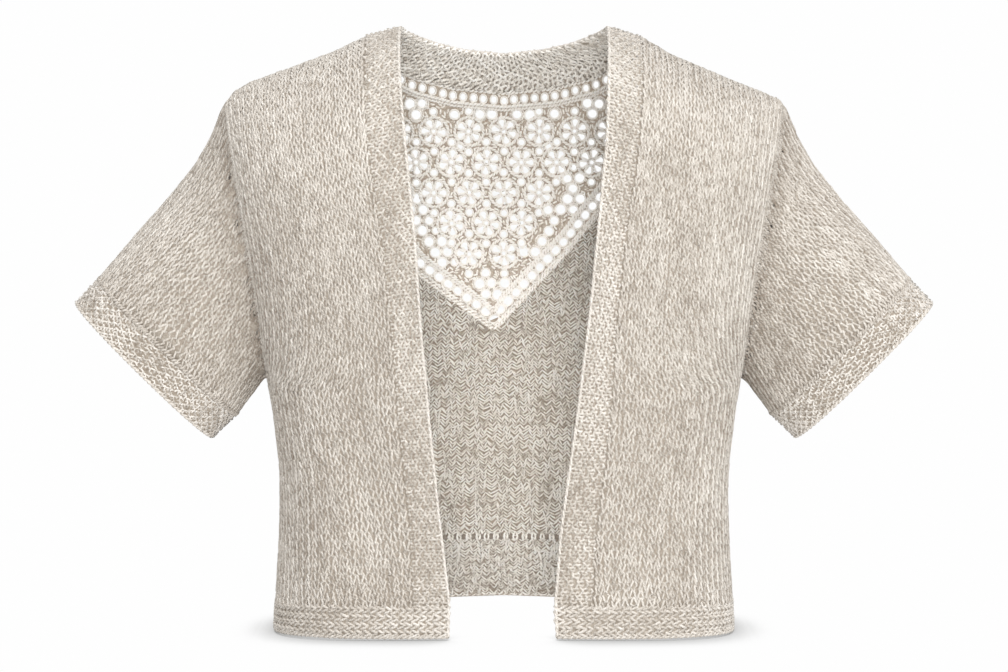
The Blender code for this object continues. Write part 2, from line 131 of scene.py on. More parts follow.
# Smaller soft creases: face (0 is a sleeve), ends (x, z), half width, depth
# (+ is outward).  On a sleeve x and z are fractions round and along it.
CREASES = [
    dict(face=-1, a=(-0.221, -0.135), b=(-0.205, -0.265), wide=0.0080, deep=0.0018),
    dict(face=-1, a=(-0.196, -0.300), b=(-0.168, -0.345), wide=0.0070, deep=-0.0016),
    dict(face=-1, a=(-0.188, -0.330), b=(-0.160, -0.392), wide=0.0085, deep=0.0013),
    dict(face=-1, a=(-0.172, -0.455), b=(-0.182, -0.500), wide=0.0080, deep=-0.0016),
    dict(face=-1, a=(-0.135, -0.430), b=(-0.142, -0.490), wide=0.0090, deep=-0.0012),
    dict(face=-1, a=(-0.128, -0.050), b=(-0.150, -0.130), wide=0.0100, deep=-0.0010),
    dict(face=-1, a=(0.222, -0.130), b=(0.207, -0.250), wide=0.0075, deep=0.0017),
    dict(face=-1, a=(0.197, -0.305), b=(0.172, -0.338), wide=0.0070, deep=-0.0015),
    dict(face=-1, a=(0.190, -0.345), b=(0.158, -0.420), wide=0.0090, deep=0.0012),
    dict(face=-1, a=(0.177, -0.450), b=(0.184, -0.498), wide=0.0080, deep=-0.0015),
    dict(face=-1, a=(0.132, -0.415), b=(0.138, -0.480), wide=0.0085, deep=-0.0012),
    dict(face=-1, a=(0.130, -0.060), b=(0.146, -0.150), wide=0.0095, deep=-0.0010),
    dict(face=+1, a=(-0.205, -0.150), b=(-0.190, -0.280), wide=0.0090, deep=0.0018),
    dict(face=+1, a=(-0.190, -0.310), b=(-0.130, -0.370), wide=0.0090, deep=-0.0018),
    dict(face=+1, a=(-0.060, -0.330), b=(-0.040, -0.430), wide=0.0120, deep=0.0014),
    dict(face=+1, a=(0.030, -0.350), b=(0.045, -0.450), wide=0.0110, deep=-0.0014),
    dict(face=+1, a=(0.206, -0.160), b=(0.188, -0.290), wide=0.0085, deep=0.0018),
    dict(face=+1, a=(0.188, -0.305), b=(0.140, -0.355), wide=0.0095, deep=-0.0018),
    dict(face=0, a=(0.06, 0.10), b=(0.16, 0.90), wide=0.030, deep=0.0012),
    dict(face=0, a=(0.28, 0.00), b=(0.22, 0.75), wide=0.026, deep=-0.0014),
    dict(face=0, a=(0.44, 0.05), b=(0.36, 0.60), wide=0.028, deep=0.0013),
    dict(face=0, a=(0.70, 0.10), b=(0.78, 0.80), wide=0.030, deep=-0.0014),
    dict(face=0, a=(0.90, 0.05), b=(0.84, 0.90), wide=0.028, deep=0.0012),
]


def table(x, xs, ys):
    return np.interp(x, xs, ys)


def crease(face, x, z, wide=1.0):
    """Height of the soft creases of a face at (x, z)."""
    total = np.zeros(np.broadcast(x, z).shape)
    for c in CREASES:
        if c["face"] != face:
            continue
        ax, az = c["a"]
        bx, bz = c["b"]
        dx, dz = bx - ax, bz - az
        t = np.clip(((x - ax) * dx + (z - az) * dz) / (dx * dx + dz * dz), 0, 1)
        away = np.hypot(x - ax - t * dx, z - az - t * dz)
        swell = 0.55 + 0.45 * np.sin(math.pi * t)
        total = total + c["deep"] * swell * np.exp(-(away / (c["wide"] * wide)) ** 2)
    return total


def ridge(x):
    return np.where(np.asarray(x) < 0, table(np.abs(x), SHOULDER["x"], SHOULDER["left"]),
                    table(np.abs(x), SHOULDER["x"], SHOULDER["right"]))


def rounding(drop):
    part = np.clip(drop / ROUND, 0.0, 1.0)
    return np.sqrt(1.0 - (1.0 - part) ** 2)


def half_depth(face, z):
    return table(z, DEPTH["z"], DEPTH["front" if face < 0 else "back"])


def armhole_half_depth(z):
    mid, half = (ARMPIT_Z + CORNER_Z) / 2, (CORNER_Z - ARMPIT_Z) / 2
    return ARMHOLE_HALF_DEPTH * np.sqrt(np.clip(1 - ((z - mid) / half) ** 2, 0, 1))


def edge_and_width(face, z):
    z = np.asarray(z, float)
    n = SECTION_POWER
    edge = np.where(z < ARMPIT_Z, table(z, SIDE["z"], SIDE["half"]),
                    table(z, ARMHOLE["z"], ARMHOLE["x"]))
    drop = np.maximum(ridge(edge) - z, 1e-7)
    part = armhole_half_depth(z) / (half_depth(face, z) * np.maximum(rounding(drop), 1e-4))
    at_top = armhole_half_depth(CORNER_Z - 0.004) / (
        half_depth(face, CORNER_Z) * rounding(ridge(table(CORNER_Z - 0.004, ARMHOLE["z"], ARMHOLE["x"]))
                                              - CORNER_Z + 0.004))
    part = np.where(z < ARMPIT_Z, 0.0, np.where(z > CORNER_Z - 0.004, at_top, part))
    part = np.clip(part, 0.0, 0.85)
    return edge, edge / (1 - part ** n) ** (1 / n)


def fold(face, x, z):
    total = np.zeros_like(np.asarray(x + z, float))
    for f in FOLDS:
        if f["face"] == face:
            centre = f["side"] * (f["x"] + f["lean"] * (z - f["z"]))
            total = total + f["deep"] * np.exp(-((x - centre) / f["wide"]) ** 2
                                               - ((z - f["z"]) / f["tall"]) ** 4)
    return total + crease(face, x, z)


def torso(face, x, z):
    """Point of the torso surface straight in front of or behind (x, z)."""
    n = SECTION_POWER
    edge, width = edge_and_width(face, z)
    inside = np.clip(1 - np.minimum(np.abs(x) / width, 1.0) ** n, 0.0, 1.0) ** (1 / n)
    y = half_depth(face, z) * inside * rounding(ridge(x) - z)
    y = y + fold(face, x, z) * np.clip(inside * 3 - 0.9, 0, 1) * rounding(ridge(x) - z)
    return np.stack([x + 0 * z, face * (y + SEAM / 2), z + 0 * x], axis=-1)


def across(face, x_in, x_out, z, u):
    """x at fraction u, by length round the section, between two edge lines."""
    n = SECTION_POWER
    edge, width = edge_and_width(face, z)

    def angle(x):
        q = np.clip(np.abs(x) / width, 0, 1) ** (n / 2)
        return np.sign(x) * np.arcsin(np.clip(q, 0, 1))
    a0, a1 = angle(x_in), angle(x_out)
    t = np.linspace(0, 1, 49)
    a = a0[..., None] + (a1 - a0)[..., None] * t
    xs = np.sign(a) * width[..., None] * np.abs(np.sin(a)) ** (2 / n)
    ys = half_depth(face, z)[..., None] * np.abs(np.cos(a)) ** (2 / n)
    step = np.hypot(np.diff(xs, axis=-1), np.diff(ys, axis=-1))
    run = np.concatenate([np.zeros(step.shape[:-1] + (1,)), np.cumsum(step, axis=-1)], axis=-1)
    run /= run[..., -1:]
    out = np.empty(len(z))
    for i in range(len(z)):
        out[i] = np.interp(u, run[i], xs[i])
    return out


def hem_height(which, face, x):
    side = np.clip(np.abs(x) / 0.196, 0, 1)
    quarter = np.arcsin(side) / math.pi
    turn = quarter if face < 0 else 1 - quarter
    return table(turn, HEM["turn"], HEM[which])


def yoke_edge(x):
    d = x - YOKE_TIP
    return np.where(d < 0, table(-d, YOKE["x"], YOKE["left"]), table(d, YOKE["x"], YOKE["right"]))


def column(face, x_in, x_out, u, z_low, z_high, levels):
    """Points up one column of a panel between its side lines and its ends."""
    def x_at(z):
        z = np.atleast_1d(np.asarray(z, float))
        return across(face, x_in(z), x_out(z), z, u)
    top = np.array([-0.10])
    low = np.array([-0.46])
    for _ in range(22):
        top = 0.5 * top + 0.5 * np.atleast_1d(z_high(x_at(top)))
        low = 0.5 * low + 0.5 * np.atleast_1d(z_low(x_at(low)))
    z = levels(float(low[0]), float(top[0]))
    return torso(face, x_at(z), z)


def front_line(side, which):
    name = ("left_" if side < 0 else "right_") + which
    return lambda z: side * table(z, FRONT_EDGE["z"], FRONT_EDGE[name])


def outer_line(side, face=-1):
    return lambda z: side * edge_and_width(face, z)[0]


def to_ridge(x):
    return ridge(x) - 1e-7


def neck_seam(x):
    xs, zs = NECK["seam_x"][::-1], NECK["seam_z"][::-1]
    inner = table(np.abs(x), xs, zs)
    return np.where(np.abs(x) < xs[-1] + 1e-5, inner - SEAM / 2, to_ridge(x))


def fine_levels(lo, hi):
    t = np.linspace(0, 1, 90)
    return lo + (hi - lo) * (0.35 * t + 0.65 * np.sin(t * math.pi / 2))


# --------------------------------------------------------------- lattices ---
def resample(line, count, margin=(0.0, 0.0)):
    """count + 1 points evenly along a line, inset by margin at its ends."""
    line = np.asarray(line)
    step = np.linalg.norm(np.diff(line, axis=0), axis=1)
    run = np.concatenate([[0], np.cumsum(step)])
    t = np.linspace(margin[0], run[-1] - margin[1], count + 1)
    out = np.stack([np.interp(t, run, line[:, k]) for k in range(3)], axis=1)
    out[0] += (line[1] - line[0]) / step[0] * min(margin[0], 0.0)
    out[-1] += (line[-1] - line[-2]) / step[-1] * max(-margin[1], 0.0)
    return out


class Cloth:
    """A lattice of points, stitch by stitch, with its outward normals."""

    def __init__(self, grid, out, closed=False):
        self.grid = np.asarray(grid)
        self.closed = closed
        g = self.grid
        if closed:
            du = np.roll(g, -1, axis=0) - np.roll(g, 1, axis=0)
        else:
            du = np.gradient(g, axis=0)
        dv = np.gradient(g, axis=1)
        n = np.cross(du, dv)
        n /= np.maximum(np.linalg.norm(n, axis=2, keepdims=True), 1e-12)
        probe = n.reshape(-1, 3) @ np.array(out, float)
        self.normal = n * (1 if probe.mean() > 0 else -1)

    def flipped(self):
        self.normal = -self.normal
        return self

    def size(self):
        cols = len(self.grid) if self.closed else len(self.grid) - 1
        return cols, self.grid.shape[1] - 1

    def at(self, a, r):
        """Point and normal at stitch column a and row r, both real numbers."""
        nu, nv = self.grid.shape[:2]
        if self.closed:
            i = np.floor(a).astype(int)
            f = (a - i)[:, None]
            i0, i1 = i % nu, (i + 1) % nu
        else:
            i0 = np.clip(np.floor(a).astype(int), 0, nu - 2)
            f = (a - i0)[:, None]
            i1 = i0 + 1
        j0 = np.clip(np.floor(r).astype(int), 0, nv - 2)
        g = (r - j0)[:, None]
        j1 = j0 + 1
        fc, gc = np.clip(f, -0.2, 1.2), np.clip(g, -0.2, 1.2)

        def mix(q, f, g):
            return ((q[i0, j0] * (1 - f) + q[i1, j0] * f) * (1 - g)
                    + (q[i0, j1] * (1 - f) + q[i1, j1] * f) * g)
        n = mix(self.normal, fc, gc)
        n /= np.maximum(np.linalg.norm(n, axis=1, keepdims=True), 1e-12)
        return mix(self.grid, f, g), n


def smooth_noise(count, rows, cell, seed):
    """Soft random hills over a (count, rows) lattice, about -1 to 1."""
    r = np.random.default_rng(seed)
    cu, cv = max(2, int(math.ceil(count / cell)) + 2), max(2, int(math.ceil(rows / cell)) + 2)
    coarse = r.uniform(-1, 1, (cu, cv))
    u = np.linspace(0, cu - 1.001, count)
    v = np.linspace(0, cv - 1.001, rows)
    i, j = np.floor(u).astype(int), np.floor(v).astype(int)
    f, g = u - i, v - j
    f, g = f * f * (3 - 2 * f), g * g * (3 - 2 * g)
    f, g = f[:, None], g[None, :]
    return ((coarse[i][:, j] * (1 - f) + coarse[i + 1][:, j] * f) * (1 - g)
            + (coarse[i][:, j + 1] * (1 - f) + coarse[i + 1][:, j + 1] * f) * g)


# -------------------------------------------------------------- yarn tubes ---
def make_mesh(name, verts, quads, uvs, attributes, material, extra=None):
    """A mesh from arrays.  quads is (n, 4); extra is a list of other faces."""
    me = bpy.data.meshes.new(name)
    extra = extra if extra is not None else np.zeros((0, 3), int)
    total = len(quads) + len(extra)
    index = np.concatenate([quads.ravel(), extra.ravel()])
    start = np.concatenate([np.arange(len(quads)) * 4,
                            len(quads) * 4 + np.arange(len(extra)) * extra.shape[1]])
    me.vertices.add(len(verts))
    me.vertices.foreach_set("co", np.asarray(verts, np.float32).ravel())
    me.loops.add(len(index))
    me.loops.foreach_set("vertex_index", index.astype(np.int32))
    me.polygons.add(total)
    me.polygons.foreach_set("loop_start", start.astype(np.int32))
    me.update(calc_edges=True)
    if uvs is not None:
        layer = me.uv_layers.new(name="yarn")
        flat = np.zeros((len(index), 2), np.float32)
        flat[:len(uvs)] = uvs
        layer.data.foreach_set("uv", flat.ravel())
    for key, values in attributes.items():
        attribute = me.attributes.new(key, 'FLOAT', 'POINT')
        attribute.data.foreach_set("value", np.asarray(values, np.float32))
    me.polygons.foreach_set("use_smooth", np.ones(total, bool))
    me.materials.append(material)
    me.validate()
    ob = bpy.data.objects.new(name, me)
    bpy.context.scene.collection.objects.link(ob)
    return ob


class Strands:
    """Runs of yarn gathered up, then made into one mesh of tubes."""

    def __init__(self, sides):
        self.sides = sides
        self.points, self.normals, self.radii, self.tones, self.lengths = [], [], [], [], []

    def add(self, points, normals, radius, tone):
        count = len(points)
        self.points.append(np.asarray(points))
        self.normals.append(np.asarray(normals))
        self.radii.append(np.broadcast_to(np.asarray(radius, float), (count,)))
        self.tones.append(np.broadcast_to(np.asarray(tone, float), (count,)))
        self.lengths.append(count)

    def triangles(self):
        return sum((n - 1) * self.sides * 2 + 2 * (self.sides - 2) for n in self.lengths)

    def build(self, name, material):
        k = self.sides
        p, n = np.concatenate(self.points), np.concatenate(self.normals)
        r, tone = np.concatenate(self.radii), np.concatenate(self.tones)
        lengths = np.array(self.lengths)
        ends = np.cumsum(lengths)
        starts = ends - lengths
        count = len(p)
        at = np.arange(count)
        first, last = np.repeat(starts, lengths), np.repeat(ends - 1, lengths)
        t = p[np.minimum(at + 1, last)] - p[np.maximum(at - 1, first)]
        t /= np.maximum(np.linalg.norm(t, axis=1, keepdims=True), 1e-9)
        b = np.cross(t, n)
        b /= np.maximum(np.linalg.norm(b, axis=1, keepdims=True), 1e-9)
        a = np.cross(b, t)
        turn = (np.arange(k) + 0.5) * 2 * math.pi / k
        ring = (np.cos(turn)[None, :, None] * a[:, None, :]
                + np.sin(turn)[None, :, None] * b[:, None, :])
        verts = (p[:, None, :] + r[:, None, None] * ring).reshape(-1, 3)
        # length along each run, from a random start
        step = np.linalg.norm(p - p[np.maximum(at - 1, first)], axis=1)
        run = np.cumsum(step)
        run = run - np.repeat(run[starts], lengths)
        offset = np.random.default_rng(len(p)).uniform(0, 1, len(lengths))
        run = run + np.repeat(offset, lengths)
        keep = at[at != last]
        j = np.arange(k)
        jn = (j + 1) % k
        base = keep[:, None] * k
        quads = np.stack([base + j, base + jn, base + k + jn, base + k + j], axis=2).reshape(-1, 4)
        u0 = np.repeat(run[keep], k)
        u1 = np.repeat(run[keep + 1], k)
        v0 = np.tile(j / k, len(keep))
        v1 = np.tile((j + 1) / k, len(keep))
        uvs = np.stack([np.stack([u0, v0], 1), np.stack([u0, v1], 1),
                        np.stack([u1, v1], 1), np.stack([u1, v0], 1)], axis=1).reshape(-1, 2)
        caps = np.concatenate([starts[:, None] * k + j[::-1][None, :],
                               (ends - 1)[:, None] * k + j[None, :]])
        tones = np.repeat(tone, k)
        return make_mesh(name, verts, quads, uvs, {"tone": tones}, material, extra=caps)


def shell(name, cloth, material, thick=0.0010, step=2, mask=None, grow=(0, 0, 0, 0), plain=None, wales=1.0, courses=1.0):
    """The thin ground of a panel: its lattice with a wall thickness.

    grow is how far the ground runs on past the lattice, at its first and last
    columns and its first and last rows, a little deeper than the rest.  plain
    is the side (+1 outward) with no yarn of its own, which gets the flat knit
    look, with so many wales and courses to a lattice column and row."""
    g, n = cloth.grid, cloth.normal
    keep = np.ones(g.shape[:2], bool) if mask is None else mask

    def run_on(g, n, keep, length, axis, last):
        g, n, keep = (np.moveaxis(q, axis, 0) for q in (g, n, keep))
        if last:
            g, n, keep = g[::-1], n[::-1], keep[::-1]
        way = g[0] - g[1]
        way /= np.maximum(np.linalg.norm(way, axis=1, keepdims=True), 1e-9)
        g = np.concatenate([[g[0] + way * length - n[0] * 0.0006], g])
        n, keep = np.concatenate([n[:1], n]), np.concatenate([keep[:1], keep])
        if last:
            g, n, keep = g[::-1], n[::-1], keep[::-1]
        return tuple(np.moveaxis(q, 0, axis) for q in (g, n, keep))
    for length, axis, last in zip(grow, (0, 0, 1, 1), (False, True, False, True)):
        if length:
            g, n, keep = run_on(g, n, keep, length, axis, last)
    nu, nv = g.shape[:2]

    def pick(count, closed=False):
        out = list(range(0, count, step))
        if not closed and out[-1] != count - 1:
            out.append(count - 1)
        return out
    iu, iv = pick(nu, cloth.closed), pick(nv)
    grid, normal = g[iu][:, iv], n[iu][:, iv]
    ok = keep[iu][:, iv]
    mu, mv = grid.shape[:2]
    top = (grid + normal * thick / 2).reshape(-1, 3)
    low = (grid - normal * thick / 2).reshape(-1, 3)
    verts = np.concatenate([top, low])
    count = mu * mv
    faces, edges = [], {}
    for i in range(mu if cloth.closed else mu - 1):
        k = (i + 1) % mu
        for j in range(mv - 1):
            if ok[i, j] and ok[k, j] and ok[k, j + 1] and ok[i, j + 1]:
                q = (i * mv + j, k * mv + j, k * mv + j + 1, i * mv + j + 1)
                faces.append(q)
                for x, y in zip(q, q[1:] + q[:1]):
                    edges[(x, y)] = True
    a = faces[0]
    e1 = top[a[1]] - top[a[0]]
    e2 = top[a[3]] - top[a[0]]
    upright = np.dot(np.cross(e1, e2), normal.reshape(-1, 3)[a[0]]) > 0
    quads, looks = [], []
    for q in faces:
        lower = tuple(x + count for x in q)
        quads.append(q if upright else q[::-1])
        quads.append(lower[::-1] if upright else lower)
        looks += [int(plain == 1), int(plain == -1)]
    for x, y in edges:
        if (y, x) not in edges:
            rim = (y, x, x + count, y + count)
            quads.append(rim if upright else rim[::-1])
    # lattice columns and rows as texture coordinates, unbroken round a tube
    at_u = np.array(iu + ([nu] if cloth.closed else []), float) * wales
    at_v = np.array(iv, float) * courses
    uvs = []
    for q in quads:
        spots = [(x % count) for x in q]
        columns = [s // mv for s in spots]
        wrap = cloth.closed and max(columns) - min(columns) > 1
        uvs += [(at_u[c if not (wrap and c == 0) else mu], at_v[s % mv]) for c, s in zip(columns, spots)]
    used = sorted({x for q in quads for x in q})
    number = {x: i for i, x in enumerate(used)}
    quads = np.array([[number[x] for x in q] for q in quads])
    ob = make_mesh(name, verts[used], quads, np.array(uvs), {}, material)
    if plain is not None:
        ob.data.materials.append(flat_knit)
        looks += [0] * (len(quads) - len(looks))
        ob.data.polygons.foreach_set("material_index", np.array(looks, np.int32))
    return ob


# -------------------------------------------------------------- materials ---
class Nodes:
    """A short way to write a node tree."""

    def __init__(self, name):
        self.material = bpy.data.materials.new(name)
        self.material.use_nodes = True
        self.tree = self.material.node_tree
        self.shader = self.tree.nodes["Principled BSDF"]

    def node(self, kind, **settings):
        n = self.tree.nodes.new(kind)
        for key, value in settings.items():
            setattr(n, key, value)
        return n

    def link(self, a, b):
        self.tree.links.new(a, b)
        return b

    def put(self, socket, value):
        if hasattr(value, "is_output"):
            self.tree.links.new(value, socket)
        else:
            socket.default_value = value

    def math(self, operation, a, b=0.0, c=None, clamp=False):
        n = self.node("ShaderNodeMath", operation=operation, use_clamp=clamp)
        self.put(n.inputs[0], a)
        self.put(n.inputs[1], b)
        if c is not None:
            self.put(n.inputs[2], c)
        return n.outputs[0]

    def mix(self, factor, a, b, blend='MIX'):
        n = self.node("ShaderNodeMix", data_type='RGBA', blend_type=blend)
        self.put(n.inputs[0], factor)
        self.put(n.inputs[6], a if hasattr(a, "is_output") else (*a, 1.0))
        self.put(n.inputs[7], b if hasattr(b, "is_output") else (*b, 1.0))
        return n.outputs[2]

    def noise(self, vector, scale, detail=2.0, rough=0.5):
        n = self.node("ShaderNodeTexNoise")
        self.put(n.inputs["Vector"], vector)
        n.inputs["Scale"].default_value = scale
        n.inputs["Detail"].default_value = detail
        n.inputs["Roughness"].default_value = rough
        return n.outputs[0]

    def spread(self, value, low, high, out_low=0.0, out_high=1.0):
        n = self.node("ShaderNodeMapRange")
        n.clamp = True
        self.put(n.inputs[0], value)
        for i, x in enumerate((low, high, out_low, out_high)):
            n.inputs[1 + i].default_value = x
        return n.outputs[0]


def yarn_material(name, light, mid, dark, ply_pitch=0.0060, tone_share=0.5, sheen=0.25):
    """Soft two-ply marled yarn: cream and taupe plies, with fine fuzz."""
    m = Nodes(name)
    uv = m.node("ShaderNodeUVMap", uv_map="yarn")
    split = m.node("ShaderNodeSeparateXYZ")
    m.link(uv.outputs[0], split.inputs[0])
    u, v = split.outputs[0], split.outputs[1]
    where = m.node("ShaderNodeTexCoord").outputs["Object"]
    turn = m.math('ADD', m.math('MULTIPLY', u, 1.0 / ply_pitch), v)
    wave = m.math('SINE', m.math('MULTIPLY', turn, 4 * math.pi))
    along = m.node("ShaderNodeCombineXYZ")
    m.put(along.inputs[0], m.math('MULTIPLY', u, 1.0))
    m.put(along.inputs[1], m.math('MULTIPLY', v, 0.0012))
    marl = m.noise(along.outputs[0], 110.0, 3.0, 0.65)
    fuzz = m.noise(where, 1500.0, 3.0, 0.7)
    # the tone attribute: the yarn's own uneven tone, with painted shade and light laid on it by the stitches, cords
    # and strands
    tone = m.node("ShaderNodeAttribute", attribute_name="tone").outputs["Fac"]
    level = m.math('ADD', m.math('MULTIPLY', wave, 0.16), m.spread(marl, 0.28, 0.72, -0.50, 0.50))
    level = m.math('ADD', level, m.math('MULTIPLY', tone, tone_share))
    level = m.math('ADD', level, m.spread(fuzz, 0.3, 0.7, -0.16, 0.16))
    high = m.spread(level, -0.10, 0.75)
    low = m.spread(level, -0.90, -0.10)
    colour = m.mix(high, m.mix(low, dark, mid), light)
    m.link(colour, m.shader.inputs["Base Color"])
    m.shader.inputs["Roughness"].default_value = 0.90
    m.shader.inputs["Specular IOR Level"].default_value = 0.18
    m.shader.inputs["Sheen Weight"].default_value = sheen
    m.shader.inputs["Sheen Roughness"].default_value = 0.55
    m.shader.inputs["Sheen Tint"].default_value = (1.0, 0.97, 0.92, 1.0)
    bump = m.node("ShaderNodeBump")
    bump.inputs["Strength"].default_value = 0.75
    bump.inputs["Distance"].default_value = 0.00035
    height = m.math('ADD', m.math('MULTIPLY', wave, 0.5), m.math('MULTIPLY', fuzz, 0.9))
    m.link(height, bump.inputs["Height"])
    m.link(bump.outputs[0], m.shader.inputs["Normal"])
    return m.material


def ground_material(name, light, dark, grain=420.0):
    """The yarn seen deep between the loops: uneven and fuzzy, and dim with painted shade of the spaces between them.
    """
    m = Nodes(name)
    where = m.node("ShaderNodeTexCoord").outputs["Object"]
    patch = m.noise(where, grain, 3.0, 0.7)
    fuzz = m.noise(where, 2200.0, 2.0, 0.6)
    level = m.math('ADD', m.spread(patch, 0.3, 0.7), m.spread(fuzz, 0.3, 0.7, -0.2, 0.2))
    m.link(m.mix(m.spread(level, 0.0, 1.0), dark, light), m.shader.inputs["Base Color"])
    m.shader.inputs["Roughness"].default_value = 0.95
    m.shader.inputs["Specular IOR Level"].default_value = 0.1
    m.shader.inputs["Sheen Weight"].default_value = 0.15
    bump = m.node("ShaderNodeBump")
    bump.inputs["Strength"].default_value = 0.6
    bump.inputs["Distance"].default_value = 0.0006
    m.link(patch, bump.inputs["Height"])
    m.link(bump.outputs[0], m.shader.inputs["Normal"])
    return m.material


def flat_knit_material(name, light, mid, dark):
    """Rows of V stitches as colour and bump, for sides the yarn isn't laid on, the colour darker between the stitches
    as painted shade.
    """
    m = Nodes(name)
    uv = m.node("ShaderNodeUVMap", uv_map="yarn")
    split = m.node("ShaderNodeSeparateXYZ")
    m.link(uv.outputs[0], split.inputs[0])
    where = m.node("ShaderNodeTexCoord").outputs["Object"]
    wander = m.noise(where, 90.0, 2.0, 0.6)
    u = m.math('ADD', split.outputs[0], m.math('MULTIPLY', m.math('SUBTRACT', wander, 0.5), 0.9))
    v = m.math('ADD', split.outputs[1], m.math('MULTIPLY', m.math('SUBTRACT', m.noise(where, 150.0, 2.0, 0.6), 0.5), 1.1))
    off = m.math('ABSOLUTE', m.math('SUBTRACT', m.math('FRACT', u), 0.5))
    slanted = m.math('SUBTRACT', v, m.math('MULTIPLY', off, 1.5))
    leg = m.math('POWER', m.math('ABSOLUTE', m.math('SINE', m.math('MULTIPLY', off, 2 * math.pi))), 0.55)
    grain = m.math('POWER', m.math('ABSOLUTE', m.math('SINE', m.math('MULTIPLY', slanted, math.pi))), 0.55)
    height = m.math('MULTIPLY', leg, grain)
    cell = m.node("ShaderNodeCombineXYZ")
    m.put(cell.inputs[0], m.math('FLOOR', m.math('MULTIPLY', u, 2.0)))
    m.put(cell.inputs[1], m.math('FLOOR', slanted))
    each = m.node("ShaderNodeTexWhiteNoise", noise_dimensions='2D')
    m.link(cell.outputs[0], each.inputs["Vector"])
    marl = m.noise(where, 700.0, 3.0, 0.7)
    patches = m.noise(where, 60.0, 2.0, 0.5)
    level = m.math('ADD', m.spread(marl, 0.28, 0.72, -0.45, 0.45), m.math('MULTIPLY', m.math('SUBTRACT', each.outputs["Value"], 0.5), 0.9))
    level = m.math('ADD', level, m.spread(patches, 0.3, 0.7, -0.2, 0.2))
    # painted shade: darker where the stitch height is low, between the stitches
    level = m.math('ADD', level, m.spread(height, 0.10, 0.85, -0.95, 0.20))
    colour = m.mix(m.spread(level, -0.10, 0.75), m.mix(m.spread(level, -0.90, -0.10), dark, mid), light)
    m.link(colour, m.shader.inputs["Base Color"])
    m.shader.inputs["Roughness"].default_value = 0.92
    m.shader.inputs["Specular IOR Level"].default_value = 0.15
    m.shader.inputs["Sheen Weight"].default_value = 0.2
    bump = m.node("ShaderNodeBump")
    bump.inputs["Strength"].default_value = 0.9
    bump.inputs["Distance"].default_value = 0.0016
    m.link(m.math('ADD', height, m.math('MULTIPLY', marl, 0.35)), bump.inputs["Height"])
    m.link(bump.outputs[0], m.shader.inputs["Normal"])
    return m.material


CREAM, OAT, TAUPE = (0.77, 0.725, 0.665), (0.530, 0.482, 0.425), (0.25, 0.205, 0.162)
knit_yarn = yarn_material("oatmeal_marl_yarn", CREAM, OAT, TAUPE)
# painted light: a lighter copy of the yarn for the insides of the back, back hem and neck, which the fronts keep in
# shade
inside_yarn_painted_light = yarn_material("oatmeal_marl_yarn_inside_painted_light", (1.00, 0.980, 0.940), (0.95, 0.905, 0.835), (0.36, 0.295, 0.230))
moss_yarn = yarn_material("oatmeal_marl_yarn_band", (0.79, 0.745, 0.690), (0.55, 0.502, 0.444), (0.26, 0.214, 0.170))
# the crochet cotton: a light yarn, made lighter still as painted light, for the yoke lies in shade inside the back
lace_yarn = yarn_material("crochet_cotton_marl", (0.97, 0.950, 0.915), (0.93, 0.885, 0.825), (0.38, 0.290, 0.210),
                          ply_pitch=0.0052, tone_share=0.62)
# the grounds, sheets under the loops: taupe yarn seen between them, darkened as painted shade between the stitches,
# darker still on the back and cuffs; the crochet's tan ground is painted shade between its strands
ground = ground_material("knit_ground", (0.46, 0.410, 0.350), (0.25, 0.208, 0.166))
ground_lace = ground_material("crochet_ground", (0.60, 0.525, 0.445), (0.32, 0.260, 0.200), grain=500.0)
flat_knit = flat_knit_material("oatmeal_marl_flat", (0.86, 0.815, 0.750), (0.64, 0.585, 0.520), (0.32, 0.265, 0.212))
ground_dark = ground_material("knit_ground_back", (0.44, 0.376, 0.308), (0.24, 0.194, 0.150))
ground_cuff = ground_material("knit_ground_cuff", (0.40, 0.350, 0.292), (0.21, 0.172, 0.134))


# ---------------------------------------------------------------- stitches ---
# In each style grain is painted shade where a leg dives under the next row (below 0, painted light on the moss bumps),
# turned is painted shade on one leg of each stitch where the cloth turns away, and speck, hills and streak are the
# yarn's own uneven tone.
STITCH = dict(
    front=dict(turned=1.5, turned_up=0.4, slant=0.290, tall=0.88, deep=0.00105, radius=0.00121, samples=6, jitter=(0.100, 0.180, 0.00020),
               drift=0.50, sway=0.18, power=0.7, grain=1.20, hills=0.26),
    sleeve=dict(turned=1.3, slant=0.260, tall=0.90, deep=0.00105, radius=0.00126, samples=6, jitter=(0.095, 0.180, 0.00020),
                drift=0.50, sway=0.16, power=0.7, grain=1.05, hills=0.22),
    fine_moss=dict(slant=0.200, tall=0.74, deep=0.00110, radius=0.00102, samples=6, jitter=(0.090, 0.130, 0.00022),
                   drift=0.16, sway=0.14, power=0.8, moss=True, grain=-1.35, speck=1.40),
    back=dict(slant=0.0, tall=0.72, deep=0.00085, radius=0.00092, samples=4, jitter=(0.080, 0.170, 0.00030),
              drift=0.34, sway=0.35, power=1.0, streak=0.20, slopes=True, speck=1.25, hills=0.30),
    back_side=dict(slant=0.0, tall=0.80, deep=0.00100, radius=0.00165, samples=4, jitter=(0.100, 0.240, 0.00034),
                   drift=0.50, sway=0.40, power=1.0, streak=0.30, slopes=True),
    moss=dict(slant=0.200, tall=0.74, deep=0.00115, radius=0.00130, samples=6, jitter=(0.060, 0.085, 0.00016),
              drift=0.12, sway=0.12, power=0.8, moss=True, grain=-0.7, speck=0.75),
    hem=dict(slant=0.360, tall=0.60, deep=0.00110, radius=0.00140, samples=8, jitter=(0.040, 0.110, 0.00020),
             drift=0.25, sway=0.08, power=0.5),
)


def runs_of(flags):
    """Pairs (first, one past last) of the stretches of True."""
    edges = np.flatnonzero(np.diff(np.concatenate([[0], flags.astype(int), [0]])))
    return list(zip(edges[::2], edges[1::2]))


